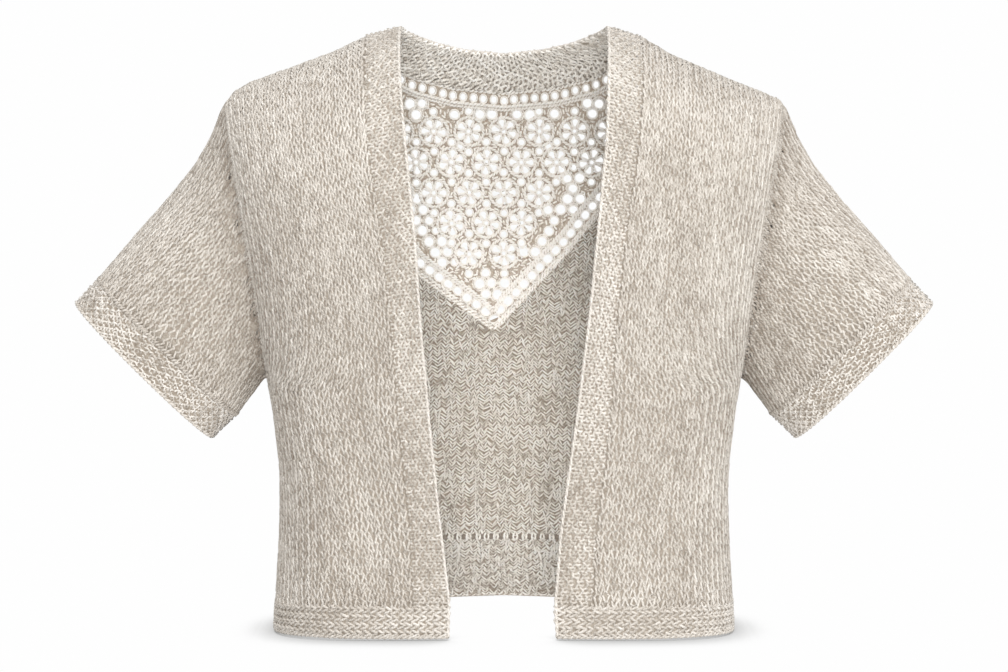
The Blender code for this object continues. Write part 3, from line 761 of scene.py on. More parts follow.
def knit(strands, cloth, style, seed, mask=None, face=+1, rows=None, patch=9.0, tone_bias=0.0, ends=(0.6, 0.6),
         lift=0.0, settle=None, shade=None):
    """Add the yarn of a lattice, one run for each stretch of a row.

    ends is how far loops reach past the first and last rows, and settle, if
    given, moves points that would lie past a panel's edge back onto it."""
    st = STITCH[style]
    cols, count = cloth.size()
    r = np.random.default_rng(seed)
    jx, jy, jz = st["jitter"]
    nodes = 2 * cols + 5
    off = r.normal(0, 1, (3, nodes, count)) * np.array([jx, jy, jz])[:, None, None]
    off = np.clip(off, -2.2 * np.array([jx, jy, jz])[:, None, None], 2.2 * np.array([jx, jy, jz])[:, None, None])
    thick = 1 + np.clip(r.normal(0, 0.07, (nodes, count)), -0.16, 0.16)
    fine = r.uniform(-1, 1, (nodes, count))
    hills = smooth_noise(cols + 2, count + 2, patch, seed + 50)
    # each wale drifts up and down, and from side to side, on its own
    streaks = r.uniform(-1, 1, count)
    rest = np.arange(count)
    knots = max(3, count // 7 + 2)
    drift, sway = (np.array([np.interp(rest, np.linspace(0, count, knots), r.uniform(-1, 1, knots))
                             for _ in range(cols + 2)]) for _ in range(2))
    if cloth.closed:
        for q in (off[0], off[1], off[2], thick, fine):
            q[2 * cols:2 * cols + 3] = q[:3]
        for q in (drift, sway):
            q[cols:cols + 2] = q[:2]
    for row in (range(count) if rows is None else rows):
        flags = np.ones(cols, bool) if mask is None else mask[:, row]
        for first, past in runs_of(flags):
            if past - first < 2:
                continue
            tau = first + np.arange((past - first) * st["samples"] + 1) / st["samples"]
            spot = np.arange(nodes)
            wob = [np.interp(2 * tau, spot, off[k, :, row]) for k in range(3)]
            wale = np.arange(cols + 2)
            x = tau + st["slant"] * np.sin(4 * math.pi * tau) + wob[0]
            x = x + st["sway"] * np.interp(tau, wale, sway[:, row])
            y = row + 0.5 - st["tall"] * np.cos(2 * math.pi * tau) + wob[1]
            y = y + st["drift"] * np.interp(tau - 0.5, wale, drift[:, row])
            if st.get("slopes"):
                # strokes that lean one way and then the other
                lean = 2 * np.abs(2 * (tau - np.floor(tau)) - 1) - 1
                y = y + st["tall"] * (lean + np.cos(2 * math.pi * tau))
            y = np.clip(y, -ends[0], count + ends[1])
            c = np.cos(4 * math.pi * tau)
            d = -np.sign(c) * np.abs(c) ** st["power"]
            if st.get("moss"):
                sign = np.where((np.floor(tau) + row) % 2 == 0, 1.0, -1.0)
                d = d * np.sin(math.pi * tau) ** 2 * 1.25 * sign
            if st.get("slopes"):
                d = 1 - 1.6 * np.abs(lean) ** 4
            d = face * st["deep"] * d + wob[2]
            p, n = cloth.at(x, y)
            if settle is not None:
                p = settle(p)
            d = d + lift
            spots = 2 * tau if not st.get("slopes") else np.floor(2 * tau + 0.001)
            tone = st.get("speck", 0.55 if not st.get("slopes") else 1.10) * np.interp(spots, spot, fine[:, row])
            tone = tone + st.get("hills", 0.45) * np.interp(tau, np.arange(cols + 2), hills[:, row]) + tone_bias
            # painted shade: a leg is darker where it dives under the next, and with grain below 0, as on the moss, the
            # bumps lighter and the legs darker
            tone = tone + st.get("grain", 0.0) * (0.42 - np.abs(np.cos(2 * math.pi * tau)))
            tone = tone + st.get("streak", 0.0) * streaks[row]
            # where the cloth turns away one leg of each stitch is in the other's shade
            turned = np.clip(np.hypot(n[:, 0], n[:, 2] * st.get("turned_up", 1.0)) - 0.22, 0, 0.55) * np.where(n[:, 0] < 0, -1.0, 1.0)
            tone = tone + st.get("turned", 0.0) * turned * np.sin(2 * math.pi * tau)
            if shade is not None:
                tone = tone + np.interp(tau, np.arange(cols), shade[:, row], period=cols if cloth.closed else None)
            strands.add(p + n * d[:, None], n, st["radius"] * np.interp(2 * tau, spot, thick[:, row]), tone)


def cord(strands, points, normals, radius, spread, pitch, plies=2, tone=0.3, samples_per_pitch=8,
         lift=0.0, seed=1, shade=0.35):
    """Plies twisted round a line, darker where they cross, as painted shade."""
    line = np.asarray(points)
    step = np.linalg.norm(np.diff(line, axis=0), axis=1)
    run = np.concatenate([[0], np.cumsum(step)])
    count = max(4, int(run[-1] / pitch * samples_per_pitch))
    s = np.linspace(0, run[-1], count + 1)
    p = np.stack([np.interp(s, run, line[:, k]) for k in range(3)], axis=1)
    n = np.stack([np.interp(s, run, np.asarray(normals)[:, k]) for k in range(3)], axis=1)
    n /= np.linalg.norm(n, axis=1, keepdims=True)
    t = np.gradient(p, axis=0)
    t /= np.maximum(np.linalg.norm(t, axis=1, keepdims=True), 1e-9)
    b = np.cross(t, n)
    b /= np.maximum(np.linalg.norm(b, axis=1, keepdims=True), 1e-9)
    r = np.random.default_rng(seed)
    for k in range(plies):
        a = 2 * math.pi * (s / pitch + k / plies)
        q = p + spread * (np.cos(a)[:, None] * b + np.sin(a)[:, None] * n) + n * lift
        strands.add(q, n, radius * (1 + 0.05 * r.normal(size=len(q)).clip(-2, 2)),
                    tone + shade * (1.7 * np.maximum(np.sin(a), 0) - 1) + 0.2 * r.uniform(-1, 1, len(q)))


def edging(strands, cloth, row, seed, radius=0.00125, wide=0.00085, pitch=0.0095, tone=0.15):
    """The bound-off edge along the first or last row of a lattice."""
    g, n = cloth.grid[:, row], cloth.normal[:, row]
    if cloth.closed:
        g, n = np.concatenate([g, g[:1]]), np.concatenate([n, n[:1]])
    cord(strands, g, n, radius, wide, pitch, plies=2, tone=tone, samples_per_pitch=6, seed=seed)


# ----------------------------------------------------------------- panels ---
def panel(face, x_in, x_out, z_low, z_high, cols, rows, margin=(0.0, 0.0), levels=fine_levels):
    return [resample(column(face, x_in, x_out, i / cols, z_low, z_high, levels), rows, margin)
            for i in range(cols + 1)]


def even_levels(lo, hi):
    return np.linspace(lo, hi, 14)


cloths = {}
FRONT_WALES, FRONT_ROWS = 26, 72
for side in (-1, 1):
    tag = "left" if side < 0 else "right"
    seam, free = front_line(side, "seam"), front_line(side, "free")
    cloths["front_" + tag] = Cloth(panel(
        -1, lambda z: seam(z) + side * 0.0008, outer_line(side), lambda x: hem_height("front_top", -1, x),
        to_ridge, FRONT_WALES, FRONT_ROWS, (-0.0014, 0.0010)), (0, -1, 0))
    cloths["hem_" + tag] = Cloth(panel(
        -1, lambda z: free(z) + side * 0.0010, outer_line(side), lambda x: hem_height("bottom", -1, x),
        lambda x: hem_height("front_top", -1, x), 34, 4, (0.0024, -0.0006), even_levels), (0, -1, 0))
    cloths["hem_" + tag + "_sideways"] = Cloth(np.transpose(cloths["hem_" + tag].grid, (1, 0, 2)), (0, -1, 0))

BACK_WALES, BACK_ROWS = 32, 186
back_left, back_right = outer_line(-1, +1), outer_line(+1, +1)
cloths["back"] = Cloth(panel(
    +1, back_left, back_right, lambda x: hem_height("back_top", +1, x), to_ridge,
    BACK_WALES, BACK_ROWS, (0.0008, 0.0012)), (0, 1, 0))
cloths["hem_back"] = Cloth(panel(
    +1, back_left, back_right, lambda x: hem_height("bottom", +1, x), lambda x: hem_height("back_top", +1, x),
    82, 8, (0.0022, 0.0000), even_levels), (0, 1, 0))
# its yarn is finer across the middle, which the opening shows, than at its sides
MIDDLE = 0.118
for part, x_in, x_out, wales, rows, hem_wales, hem_rows in (
        ("middle", lambda z: -MIDDLE + 0 * z, lambda z: MIDDLE + 0 * z, 34, BACK_ROWS, 38, 23),
        ("left", back_left, lambda z: -MIDDLE + 0.001 + 0 * z, 9, 93, 11, 12),
        ("right", lambda z: MIDDLE - 0.001 + 0 * z, back_right, 9, 93, 11, 12)):
    cloths["back_" + part] = Cloth(panel(+1, x_in, x_out, lambda x: hem_height("back_top", +1, x), to_ridge,
                                         wales, rows, (0.0008, 0.0012)), (0, 1, 0))
    cloths["hem_back_" + part] = Cloth(panel(
        +1, x_in, x_out, lambda x: hem_height("bottom", +1, x), lambda x: hem_height("back_top", +1, x),
        hem_wales, hem_rows, (0.0022, 0.0000), even_levels), (0, 1, 0))


def front_strip(side, w, count):
    free, seam = front_line(side, "free"), front_line(side, "seam")
    line = column(-1, lambda z: free(z) + side * 0.0012, lambda z: seam(z) - side * 0.0006, w,
                  lambda x: hem_height("front_top", -1, x), to_ridge, fine_levels)
    return resample(line, count, (-0.0010, 0.0))


def neck_strip(w, count):
    s = np.linspace(0, 1, len(NECK["free_x"]))
    k = np.concatenate([np.linspace(0, 1, 40), np.linspace(1, 0, 40)[1:]])
    sign = np.where(np.arange(len(k)) < 40, -1.0, 1.0)
    fx, fz = table(k, s, NECK["free_x"]), table(k, s, NECK["free_z"]) - 0.0010
    sx, sz = table(k, s, NECK["seam_x"]), table(k, s, NECK["seam_z"])
    x = sign * (fx + (sx - fx) * w)
    z = np.minimum(fz + (sz - fz) * w + SEAM / 2 * w, to_ridge(x))
    return resample(torso(+1, x, z), count)


BAND_WALES, BAND_FRONT_ROWS, BAND_NECK_ROWS = 7, 92, 38
band_grid = []
for i in range(BAND_WALES + 1):
    w = i / BAND_WALES
    band_grid.append(np.concatenate([front_strip(-1, w, BAND_FRONT_ROWS)[:-1], neck_strip(w, BAND_NECK_ROWS),
                                     front_strip(+1, w, BAND_FRONT_ROWS)[::-1][1:]]))
band_grid = np.transpose(np.array(band_grid), (1, 0, 2))     # along the band, then across it
cloths["front_band"] = Cloth(band_grid, (0, 0, 1))


# ------------------------------------------------------ sleeves and cuffs ---
def conormals(side, loop):
    out = []
    count = len(loop)
    half_count = count // 2
    for k, p in enumerate(loop):
        along = Vector(loop[(k + 1) % count] - loop[k - 1]).normalized()
        face = -1 if k <= half_count else 1
        z = float(np.clip(p[2], ARMPIT_Z + 0.001, CORNER_Z - 0.004))
        edge = float(edge_and_width(face, z)[0])
        here = torso(face, np.array([side * edge]), np.array([z]))[0]
        inward = torso(face, np.array([side * (edge - 0.002)]), np.array([z]))[0]
        step = Vector(here - inward)
        if k == 0:
            step = Vector((side * 0.15, 0.0, 1.0))
        elif k == half_count:
            step = Vector((side * 1.0, 0.0, -0.55))
        step -= step.dot(along) * along
        out.append(step.normalized())
    for _ in range(2):
        out = [(out[k - 1] + 2 * out[k] + out[(k + 1) % count]).normalized() for k in range(count)]
    return out


def cuff_point(side, angle, back_off):
    top, low = Vector((side * CUFF_TOP[0], 0, CUFF_TOP[1])), Vector((side * CUFF_LOW[0], 0, CUFF_LOW[1]))
    chord = (top - low)
    up = chord.normalized()
    out = Vector((side * abs(up.z), 0, -abs(up.x))).normalized()
    mid = (top + low) / 2 - out * back_off
    c, s = math.cos(angle), math.sin(angle)
    p = 2 / 2.3
    return (mid + up * (-math.copysign(abs(c) ** p, c) * chord.length / 2 * (1 + 0.30 * back_off))
            + Vector((0, -1, 0)) * (math.copysign(abs(s) ** p, s) * (CUFF_HALF_DEPTH + 0.05 * back_off)))


SLEEVE_WALES, SLEEVE_ROW = 68, 0.0064


def sleeve_lines(side):
    """Lines down a sleeve, from its armhole seam to its cuff seam."""
    edge = {}
    for face in (-1, +1):
        t = np.linspace(0, 1, 26)
        z = ARMPIT_Z + (CORNER_Z - ARMPIT_Z) * (0.5 - 0.5 * np.cos(math.pi * t))
        x = side * edge_and_width(face, z)[0]
        z[-1] = min(CORNER_Z, float(ridge(x[-1])) - 1e-6)
        edge[face] = torso(face, x, z)
    front, back = edge[-1], edge[+1]
    loop = np.array([(front[0] + back[0]) / 2, *front[1:-1], (front[-1] + back[-1]) / 2, *back[1:-1][::-1]])
    count = len(loop)
    off = conormals(side, loop)
    steps = [np.linalg.norm(loop[(k + 1) % count] - loop[k]) for k in range(count)]
    half_count = count // 2
    run_front = np.cumsum([0] + steps[:half_count])
    run_back = np.cumsum([0] + steps[half_count:])
    angle = [math.pi * run_front[k] / run_front[-1] for k in range(half_count + 1)]
    angle += [math.pi * (1 + run_back[k] / run_back[-1]) for k in range(1, count - half_count)]
    lines = []
    for k in range(count):
        start = Vector(loop[k]) + off[k] * SEAM
        end = cuff_point(side, angle[k], CUFF_BAND + SEAM / 2)
        length = (end - start).length
        bend = min(BEND, 0.25 * length)
        turn_in = start + off[k] * bend * 0.75
        turn_out = turn_in + (end - turn_in).normalized() * bend
        rows = [start]
        for t in np.linspace(0, 1, 7)[1:]:
            rows.append(start * (1 - t) ** 2 + turn_in * 2 * t * (1 - t) + turn_out * t * t)
        low_end, top_end = cuff_point(side, 0, CUFF_BAND), cuff_point(side, math.pi, CUFF_BAND)
        inward = (low_end - top_end).normalized()
        weight = ((1 - math.cos(angle[k])) / 2) ** 1.5
        for j in range(1, 25):
            rows.append(turn_out + (end - turn_out) * (j / 24))
        done = []
        for row in rows:
            along = min(1.0, max(0.0, (row - start).length / length))
            sag = float(table(along, SLEEVE_SAG["along"], SLEEVE_SAG["sag"]))
            done.append(np.array(row + inward * sag * weight))
        lines.append(np.array(done)[::-1])            # from the cuff seam up
    return np.array(lines), np.array(angle)


def round_again(values, angle, wales):
    """Values at even angles, from values at the given angles round a loop."""
    want = np.arange(wales) / wales * 2 * math.pi
    a = np.concatenate([angle, [2 * math.pi]])
    v = np.concatenate([values, values[:1]])
    flat = v.reshape(len(v), -1)
    return np.stack([np.interp(want, a, flat[:, k]) for k in range(flat.shape[1])], axis=1).reshape(
        (wales,) + v.shape[1:])


sleeve_mask, sleeve_shade, armhole = {}, {}, {}
for side in (-1, 1):
    tag = "left" if side < 0 else "right"
    lines, angle = sleeve_lines(side)
    fine = round_again(lines, angle, 150)
    way = fine[:, -1] - fine[:, -4]
    way /= np.linalg.norm(way, axis=1, keepdims=True)
    armhole[tag] = (fine[:, -1], way)
    lines = round_again(lines, angle, SLEEVE_WALES)
    step = np.linalg.norm(np.diff(lines, axis=1), axis=2)
    run = np.concatenate([np.zeros((SLEEVE_WALES, 1)), np.cumsum(step, axis=1)], axis=1)
    rows = int(math.ceil(run[:, -1].max() / SLEEVE_ROW))
    grid = np.zeros((SLEEVE_WALES, rows + 1, 3))
    mask = np.zeros((SLEEVE_WALES, rows), bool)
    shade = np.zeros((SLEEVE_WALES, rows))
    for k in range(SLEEVE_WALES):
        s = 0.0012 + np.arange(rows + 1) * SLEEVE_ROW
        inside = np.minimum(s, run[k, -1])
        for c in range(3):
            grid[k, :, c] = np.interp(inside, run[k], lines[k, :, c])
        mask[k] = s[1:] - 0.45 * SLEEVE_ROW < run[k, -1] - 0.0006
        # painted shade along the armhole seam, fading over about 20 mm
        shade[k] = -1.25 * np.exp(-np.maximum(run[k, -1] - s[1:], 0) / 0.020)
        # past the seam the line runs straight on, so that the lattice stays even
        past = s - run[k, -1]
        last = lines[k, -1] - lines[k, -3]
        last /= np.linalg.norm(last)
        grid[k] += np.maximum(past, 0)[:, None] * last * 0.3
    cloth = Cloth(grid, (side, 0, 0.5), closed=True)
    # outward is away from the sleeve's middle line
    centre = grid.mean(axis=0, keepdims=True)
    if np.mean(np.sum((grid - centre) * cloth.normal, axis=2)) < 0:
        cloth.flipped()
    u = np.arange(SLEEVE_WALES)[:, None] / SLEEVE_WALES
    v = np.arange(rows + 1)[None, :] / rows
    cloth.grid = cloth.grid + cloth.normal * (crease(0, u + 0 * v, v + 0 * u)
                                              * np.clip(v * 6, 0, 1) * np.clip((1 - v) * 4, 0, 1))[:, :, None]
    cloths["sleeve_" + tag] = cloth
    # in shade towards the underarm
    near_pit = np.hypot(cloth.grid[:, :, 0] - side * 0.203, cloth.grid[:, :, 2] + 0.2975)[:shade.shape[0], :shade.shape[1]]
    shade = shade - 0.50 * np.exp(-(near_pit / 0.060) ** 2)
    sleeve_mask[tag], sleeve_shade[tag] = mask, shade

    cuff_wales, cuff_rows = 92, 9
    grid = np.array([[np.array(cuff_point(side, 2 * math.pi * k / cuff_wales, b))
                      for b in np.linspace(CUFF_BAND + 0.0016, 0.0020, cuff_rows + 1)]
                     for k in range(cuff_wales)])
    cloth = Cloth(grid, (side, 0, 0.5), closed=True)
    centre = grid.mean(axis=0, keepdims=True)
    if np.mean(np.sum((grid - centre) * cloth.normal, axis=2)) < 0:
        cloth.flipped()
    cloths["cuff_" + tag] = cloth


# -------------------------------------------------- the yarn of each panel ---
pieces = []


def body(name, node, cloth, mask, material, yarns, grow=(0, 0, 0, 0),
         step=2, plain=-1, wales=1.0, courses=1.0):
    """The ground of a panel with its yarn on it, in place of a CAD node."""
    base = shell(name, cloth, material, step=step, mask=mask, grow=grow, plain=plain, wales=wales, courses=courses)
    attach(base, "root")
    for y in yarns:
        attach(y, "root")
    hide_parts(node)
    pieces.append(name)
    return base


def corner_mask(mask):
    """A mask of lattice points from one of stitches."""
    c, r = mask.shape
    out = np.zeros((c + 1, r + 1), bool)
    out[:-1, :-1] |= mask
    out[1:, :-1] |= mask
    out[:-1, 1:] |= mask
    out[1:, 1:] |= mask
    return out


total_triangles = 0
for side in (-1, 1):
    tag = "left" if side < 0 else "right"
    s = Strands(4)
    mid = cloths["front_" + tag].grid[:-1, :-1, 2]
    # painted light towards the shoulders, the left more so, and painted shade on the left front, a touch darker than
    # the right; a little lighter low down
    knit(s, cloths["front_" + tag], "front", 100 + side, tone_bias=-0.08 if side < 0 else -0.06,
         shade=(0.50 if side < 0 else 0.22) * np.clip((mid + 0.17) / 0.09, 0, 1) + 0.12 * np.clip((-0.34 - mid) / 0.08, 0, 1))
    total_triangles += s.triangles()
    y = s.build("yarn_front_" + tag, knit_yarn)
    body("cloth_front_" + tag, "front_" + tag, cloths["front_" + tag], None, ground, [y],
         grow=(0.0026, 0.0035, 0.0030, 0.0006))
    s = Strands(4)
    knit(s, cloths["hem_" + tag + "_sideways"], "hem", 110 + side)
    edging(s, cloths["hem_" + tag], 0, 110 + side)
    g, n = cloths["hem_" + tag].grid[0], cloths["hem_" + tag].normal[0]
    cord(s, np.concatenate([g, g[-1:] * 2 - g[-2:-1]]), np.concatenate([n, n[-1:]]), 0.00105, 0.00062, 0.0125, plies=2,
         tone=0.70, samples_per_pitch=7)
    total_triangles += s.triangles()
    y = s.build("yarn_hem_" + tag, moss_yarn)
    body("cloth_hem_" + tag, "hem_" + tag, cloths["hem_" + tag], None, ground, [y],
         grow=(0.0008, 0.0010, 0.0012, 0.0030))
    s = Strands(4)
    knit(s, cloths["sleeve_" + tag], "sleeve", 120 + side, mask=sleeve_mask[tag], shade=sleeve_shade[tag], tone_bias=0.12)
    # stitches over and over along the armhole, with a thin strand under them; below them thick dark strands, which
    # fill the seam, and strokes darkest by it are painted shade in the seam's valley
    ring, way = armhole[tag]
    along = np.roll(ring, -1, axis=0) - np.roll(ring, 1, axis=0)
    along /= np.linalg.norm(along, axis=1, keepdims=True)
    out = np.cross(along, way)
    out *= np.sign(np.sum(out * (ring - ring.mean(axis=0)), axis=1, keepdims=True).mean())
    out /= np.linalg.norm(out, axis=1, keepdims=True)
    run = np.concatenate([[0], np.cumsum(np.linalg.norm(np.diff(ring, axis=0), axis=1))])
    a = np.arange(0, run[-1], 0.00085)

    def at(q):
        return np.stack([np.interp(a, run, q[:, k]) for k in range(3)], axis=1)
    r = np.random.default_rng(300 + side)
    wobble = np.interp(a, np.arange(0, run[-1] + 0.006, 0.0055), r.uniform(0.75, 1.25, len(np.arange(0, run[-1] + 0.006, 0.0055))))
    swing = np.sin(2 * math.pi * a / 0.0058) * 0.0028 * wobble
    s.add(at(ring) + at(way) * (swing + 0.0006)[:, None] + at(out) * (0.0004 + 0.0003 * np.cos(4 * math.pi * a / 0.0058))[:, None],
          at(out), 0.00130, 0.2 * np.sin(a * 900) + r.uniform(-0.3, 0.3))
    # painted shade: thick dark strands down in the seam
    for shift, fall in ((-0.0040, 0.0024), (-0.0010, 0.0022), (0.0020, 0.0016), (0.0048, 0.0012)):
        s.add((at(ring) + at(way) * shift - at(out) * fall)[::4], at(out)[::4], 0.0024, np.full(len(a[::4]), -0.75))
    rim, lead, face_out = at(ring), at(way), at(out)
    # painted shade: short strokes across the seam, darkest at it
    for k in range(1, len(a) - 3, 3):
        reach = np.array([-0.0010, 0.0028, 0.0066, r.uniform(0.0085, 0.0120)])
        side_step = np.cross(face_out[k], lead[k]) * r.uniform(-0.0012, 0.0012)
        stroke = (rim[k] - lead[k] * reach[:, None] + side_step * np.array([0, 0.4, 0.8, 1])[:, None]
                  + face_out[k] * np.array([-0.0006, 0.0004, 0.0005, -0.0008])[:, None])
        s.add(stroke, np.repeat(face_out[k][None], 4, axis=0), 0.00128,
              np.array([-1.2, -0.7, -0.4, -0.3]) + r.uniform(-0.35, 0.35))
    swing = np.sin(2 * math.pi * a / 0.0058 + 2.2) * 0.0026 * wobble[::-1]
    s.add(at(ring) + at(way) * (swing + 0.0010)[:, None] - at(out) * 0.0004, at(out), 0.00130, -0.1)
    total_triangles += s.triangles()
    y = s.build("yarn_sleeve_" + tag, knit_yarn)
    m = sleeve_mask[tag]
    points = np.zeros((m.shape[0], m.shape[1] + 1), bool)
    points[:, :-1] |= m
    points[:, 1:] |= m
    body("cloth_sleeve_" + tag, "sleeve_" + tag, cloths["sleeve_" + tag], points, ground, [y])
    s = Strands(4)
    knit(s, cloths["cuff_" + tag], "fine_moss", 130 + side, ends=(0.3, 0.1), tone_bias=0.18)
    edging(s, cloths["cuff_" + tag], -1, 130 + side)
    edging(s, cloths["cuff_" + tag], 0, 132 + side, radius=0.00120, wide=0.00150, pitch=0.0062, tone=-0.55)
    total_triangles += s.triangles()
    y = s.build("yarn_cuff_" + tag, moss_yarn)
    body("cloth_cuff_" + tag, "cuff_" + tag, cloths["cuff_" + tag], None, ground_cuff, [y])

# the back: stitches up to the yoke's edge
def below_yoke(cloth):
    """The stitches of a lattice that reach below the V of the yoke."""
    g = cloth.grid
    past_it = g[:, :, 2] - yoke_edge(g[:, :, 0])
    return np.minimum(np.minimum(past_it[:-1, :-1], past_it[1:, :-1]),
                      np.minimum(past_it[:-1, 1:], past_it[1:, 1:])) < 0


back_mask = below_yoke(cloths["back"])


def to_yoke(p, past=0.0012):
    """Points of the back, with those past the yoke's edge moved onto it."""
    top = yoke_edge(p[:, 0]) + past
    over = p[:, 2] > top
    out = p.copy()
    if over.any():
        out[over] += torso(+1, p[over, 0], top[over]) - torso(+1, p[over, 0], p[over, 2])
    return out


grid_all = cloths["back"].grid
cloths["back_ground"] = Cloth(to_yoke(grid_all.reshape(-1, 3), 0.0012).reshape(grid_all.shape), (0, 1, 0))
cloths["back_ground"].normal = cloths["back"].normal
yarns = []
back_points = corner_mask(back_mask)


for part, rows in (("low", range(0, 93)), ("high", range(93, BACK_ROWS)), ("left", None), ("right", None)):
    s = Strands(3)
    cloth = cloths["back_middle" if rows is not None else "back_" + part]
    knit(s, cloth, "back" if rows is not None else "back_side", 140, mask=below_yoke(cloth), face=-1, rows=rows,
         settle=to_yoke, lift=-0.0012 if rows is not None else -0.0022)
    total_triangles += s.triangles()
    yarns.append(s.build("yarn_back_" + part, inside_yarn_painted_light))
body("cloth_back", "back", cloths["back_ground"], back_points, ground_dark, yarns,
     grow=(0.0010, 0.0010, 0.0030, 0.0006), step=1,
     plain=+1, wales=72 / BACK_WALES, courses=62 / BACK_ROWS)
s = Strands(3)
for part in ("middle", "left", "right"):
    knit(s, cloths["hem_back_" + part], "back" if part == "middle" else "back_side", 150, face=-1,
         lift=-0.0012 if part == "middle" else -0.0022,
         ends=(0.0, 0.3))
# the seam above the hem: open stitches, with very dark strands between them as painted shade in the openings
seam_line, seam_in = cloths["hem_back"].grid[:, -1], -cloths["hem_back"].normal[:, -1]
run = np.concatenate([[0], np.cumsum(np.linalg.norm(np.diff(seam_line, axis=0), axis=1))])
r = np.random.default_rng(153)
gap_shade = Strands(3)
for k in range(int(run[-1] / 0.0083)):
    where_at = (k + 0.5 + r.uniform(-0.08, 0.08)) * 0.0083
    p0, p1, n0 = (np.array([np.interp(q, run, w[:, c]) for c in range(3)])
                  for q, w in ((where_at, seam_line), (where_at + 0.0005, seam_line), (where_at, seam_in)))
    t0 = (p1 - p0) / max(np.linalg.norm(p1 - p0), 1e-9)
    up0 = np.array([0.0, 0.0, 1.0])
    tall, wide = r.uniform(0.0030, 0.0037), r.uniform(0.0014, 0.0020)
    for turn, tone in ((0.50, 0.35), (0.0, -0.3)):
        a = (turn + np.linspace(-0.21, 0.21, 5)) * 2 * math.pi
        s.add(p0 + t0 * (wide * np.cos(a))[:, None] + up0 * (tall * np.sin(a))[:, None] + n0 * 0.0027,
              np.repeat(n0[None], 5, axis=0), 0.00090, tone + np.array([-0.7, 0.1, 0.3, 0.1, -0.7]) + r.uniform(-0.3, 0.2, 5))
    # painted shade: dark strands in the openings between the stitches
    for j in (-1.2, -0.4, 0.4, 1.2):
        v = np.linspace(-1, 1, 4)
        gap_shade.add(p0 + t0 * (0.00415 + j * 0.0010 + 0.0003 * v ** 2)[:, None]
              + up0 * (0.0027 * v * (1 - 0.25 * abs(j)))[:, None] + n0 * 0.0026,
              np.repeat(n0[None], 4, axis=0), 0.0009, -2.0 + r.uniform(-0.3, 0.3, 4))
edging(s, cloths["hem_back"], 0, 150, tone=-0.35)
total_triangles += s.triangles()
total_triangles += gap_shade.triangles()
y = s.build("yarn_hem_back", inside_yarn_painted_light)
y2 = gap_shade.build("yarn_seam_back", knit_yarn)
body("cloth_hem_back", "hem_back", cloths["hem_back"], None, ground_dark, [y, y2],
     grow=(0.0010, 0.0010, 0.0012, 0.0030), plain=+1, courses=1.0)

s = Strands(4)
mid_band = cloths["front_band"].grid[:-1, :-1]
# painted shade: the band darker towards the hem, and on the left
knit(s, cloths["front_band"], "moss", 160, shade=0.02 - 0.22 * np.clip((-0.22 - mid_band[:, :, 2]) / 0.16, 0, 1)
     - 0.08 * (mid_band[:, :, 0] < -0.03))
neck = Cloth(cloths["front_band"].grid[BAND_FRONT_ROWS - 2:BAND_FRONT_ROWS + BAND_NECK_ROWS + 3], (0, 0, 1))
neck.normal = cloths["front_band"].normal[BAND_FRONT_ROWS - 2:BAND_FRONT_ROWS + BAND_NECK_ROWS + 3]
inner = Strands(4)
knit(inner, neck, "moss", 161, face=-1, lift=-0.0012, tone_bias=-0.25)
neck_yarn = inner.build("yarn_neck_inside", inside_yarn_painted_light)
total_triangles += inner.triangles()
g, n = cloths["front_band"].grid, cloths["front_band"].normal
free_line = g[:, 0] + (g[:, 0] - g[:, 1]) * 0.10
cord(s, free_line, n[:, 0], 0.00105, 0.00062, 0.0125, plies=2, tone=0.70, samples_per_pitch=7)
total_triangles += s.triangles()
y = s.build("yarn_front_band", moss_yarn)
body("cloth_front_band", "front_band", cloths["front_band"], None, ground, [y, neck_yarn],
     grow=(0, 0, 0.0006, 0.0026))

# ------------------------------------------------------------------- yoke ---
# The yoke is crochet in a plain repeat: round wheels in staggered rows, each a
# small eye with leaves and openings by turns and a corded rim, meshes between
# them, a row of eyelets by the neck and a row of meshes along the edge.  All of
# it is worked out from the few sizes below, on the upright plane of the yoke,
# and then laid on the yoke's curve.
WHEEL_PITCH = 0.0312         # from one wheel to the next in a row
WHEEL_ROW = 0.0272           # from one row to the next
WHEEL_TOP = -0.0860          # the first row
WHEEL_RIM = 0.0128
WHEEL_SPOKES = 6
NECK_ROW = 0.0130            # from the neck seam to the cord below the eyelets
EDGE_ROW = 0.0125            # from the yoke's edge to the cord above its meshes
lace = Strands(4)
lace_rng = np.random.default_rng(21)


def lay(x, z, lift=0.0):
    """Points and inward normals of the yoke at (x, z)."""
    x, z = np.asarray(x, float), np.asarray(z, float)
    z = np.minimum(z, to_ridge(x) - 2e-6)
    e = 0.0008
    p = torso(+1, x, z)
    px = torso(+1, x + e, z) - torso(+1, x - e, z)
    pz = p - torso(+1, x, z - 2 * e)
    n = np.cross(px, pz)
    n /= np.maximum(np.linalg.norm(n, axis=1, keepdims=True), 1e-12)
    n = np.where((n[:, 1] > 0)[:, None], -n, n)
    return p + n * np.asarray(lift)[..., None], n


def smooth_line(points, step=0.0016):
    """A Catmull-Rom line through (x, z) points, at about even steps."""
    q = np.asarray(points, float)
    q = np.concatenate([[2 * q[0] - q[1]], q, [2 * q[-1] - q[-2]]])
    out = []
    for i in range(1, len(q) - 2):
        length = np.linalg.norm(q[i + 1] - q[i])
        n = max(1, int(round(length / step)))
        t = np.arange(n)[:, None] / n
        out.append(0.5 * ((2 * q[i]) + (-q[i - 1] + q[i + 1]) * t
                          + (2 * q[i - 1] - 5 * q[i] + 4 * q[i + 1] - q[i + 2]) * t ** 2
                          + (-q[i - 1] + 3 * q[i] - 3 * q[i + 1] + q[i + 2]) * t ** 3))
    out.append(q[-2][None])
    return np.concatenate(out)


LAID = []                    # (x, z) along all that has been laid so far


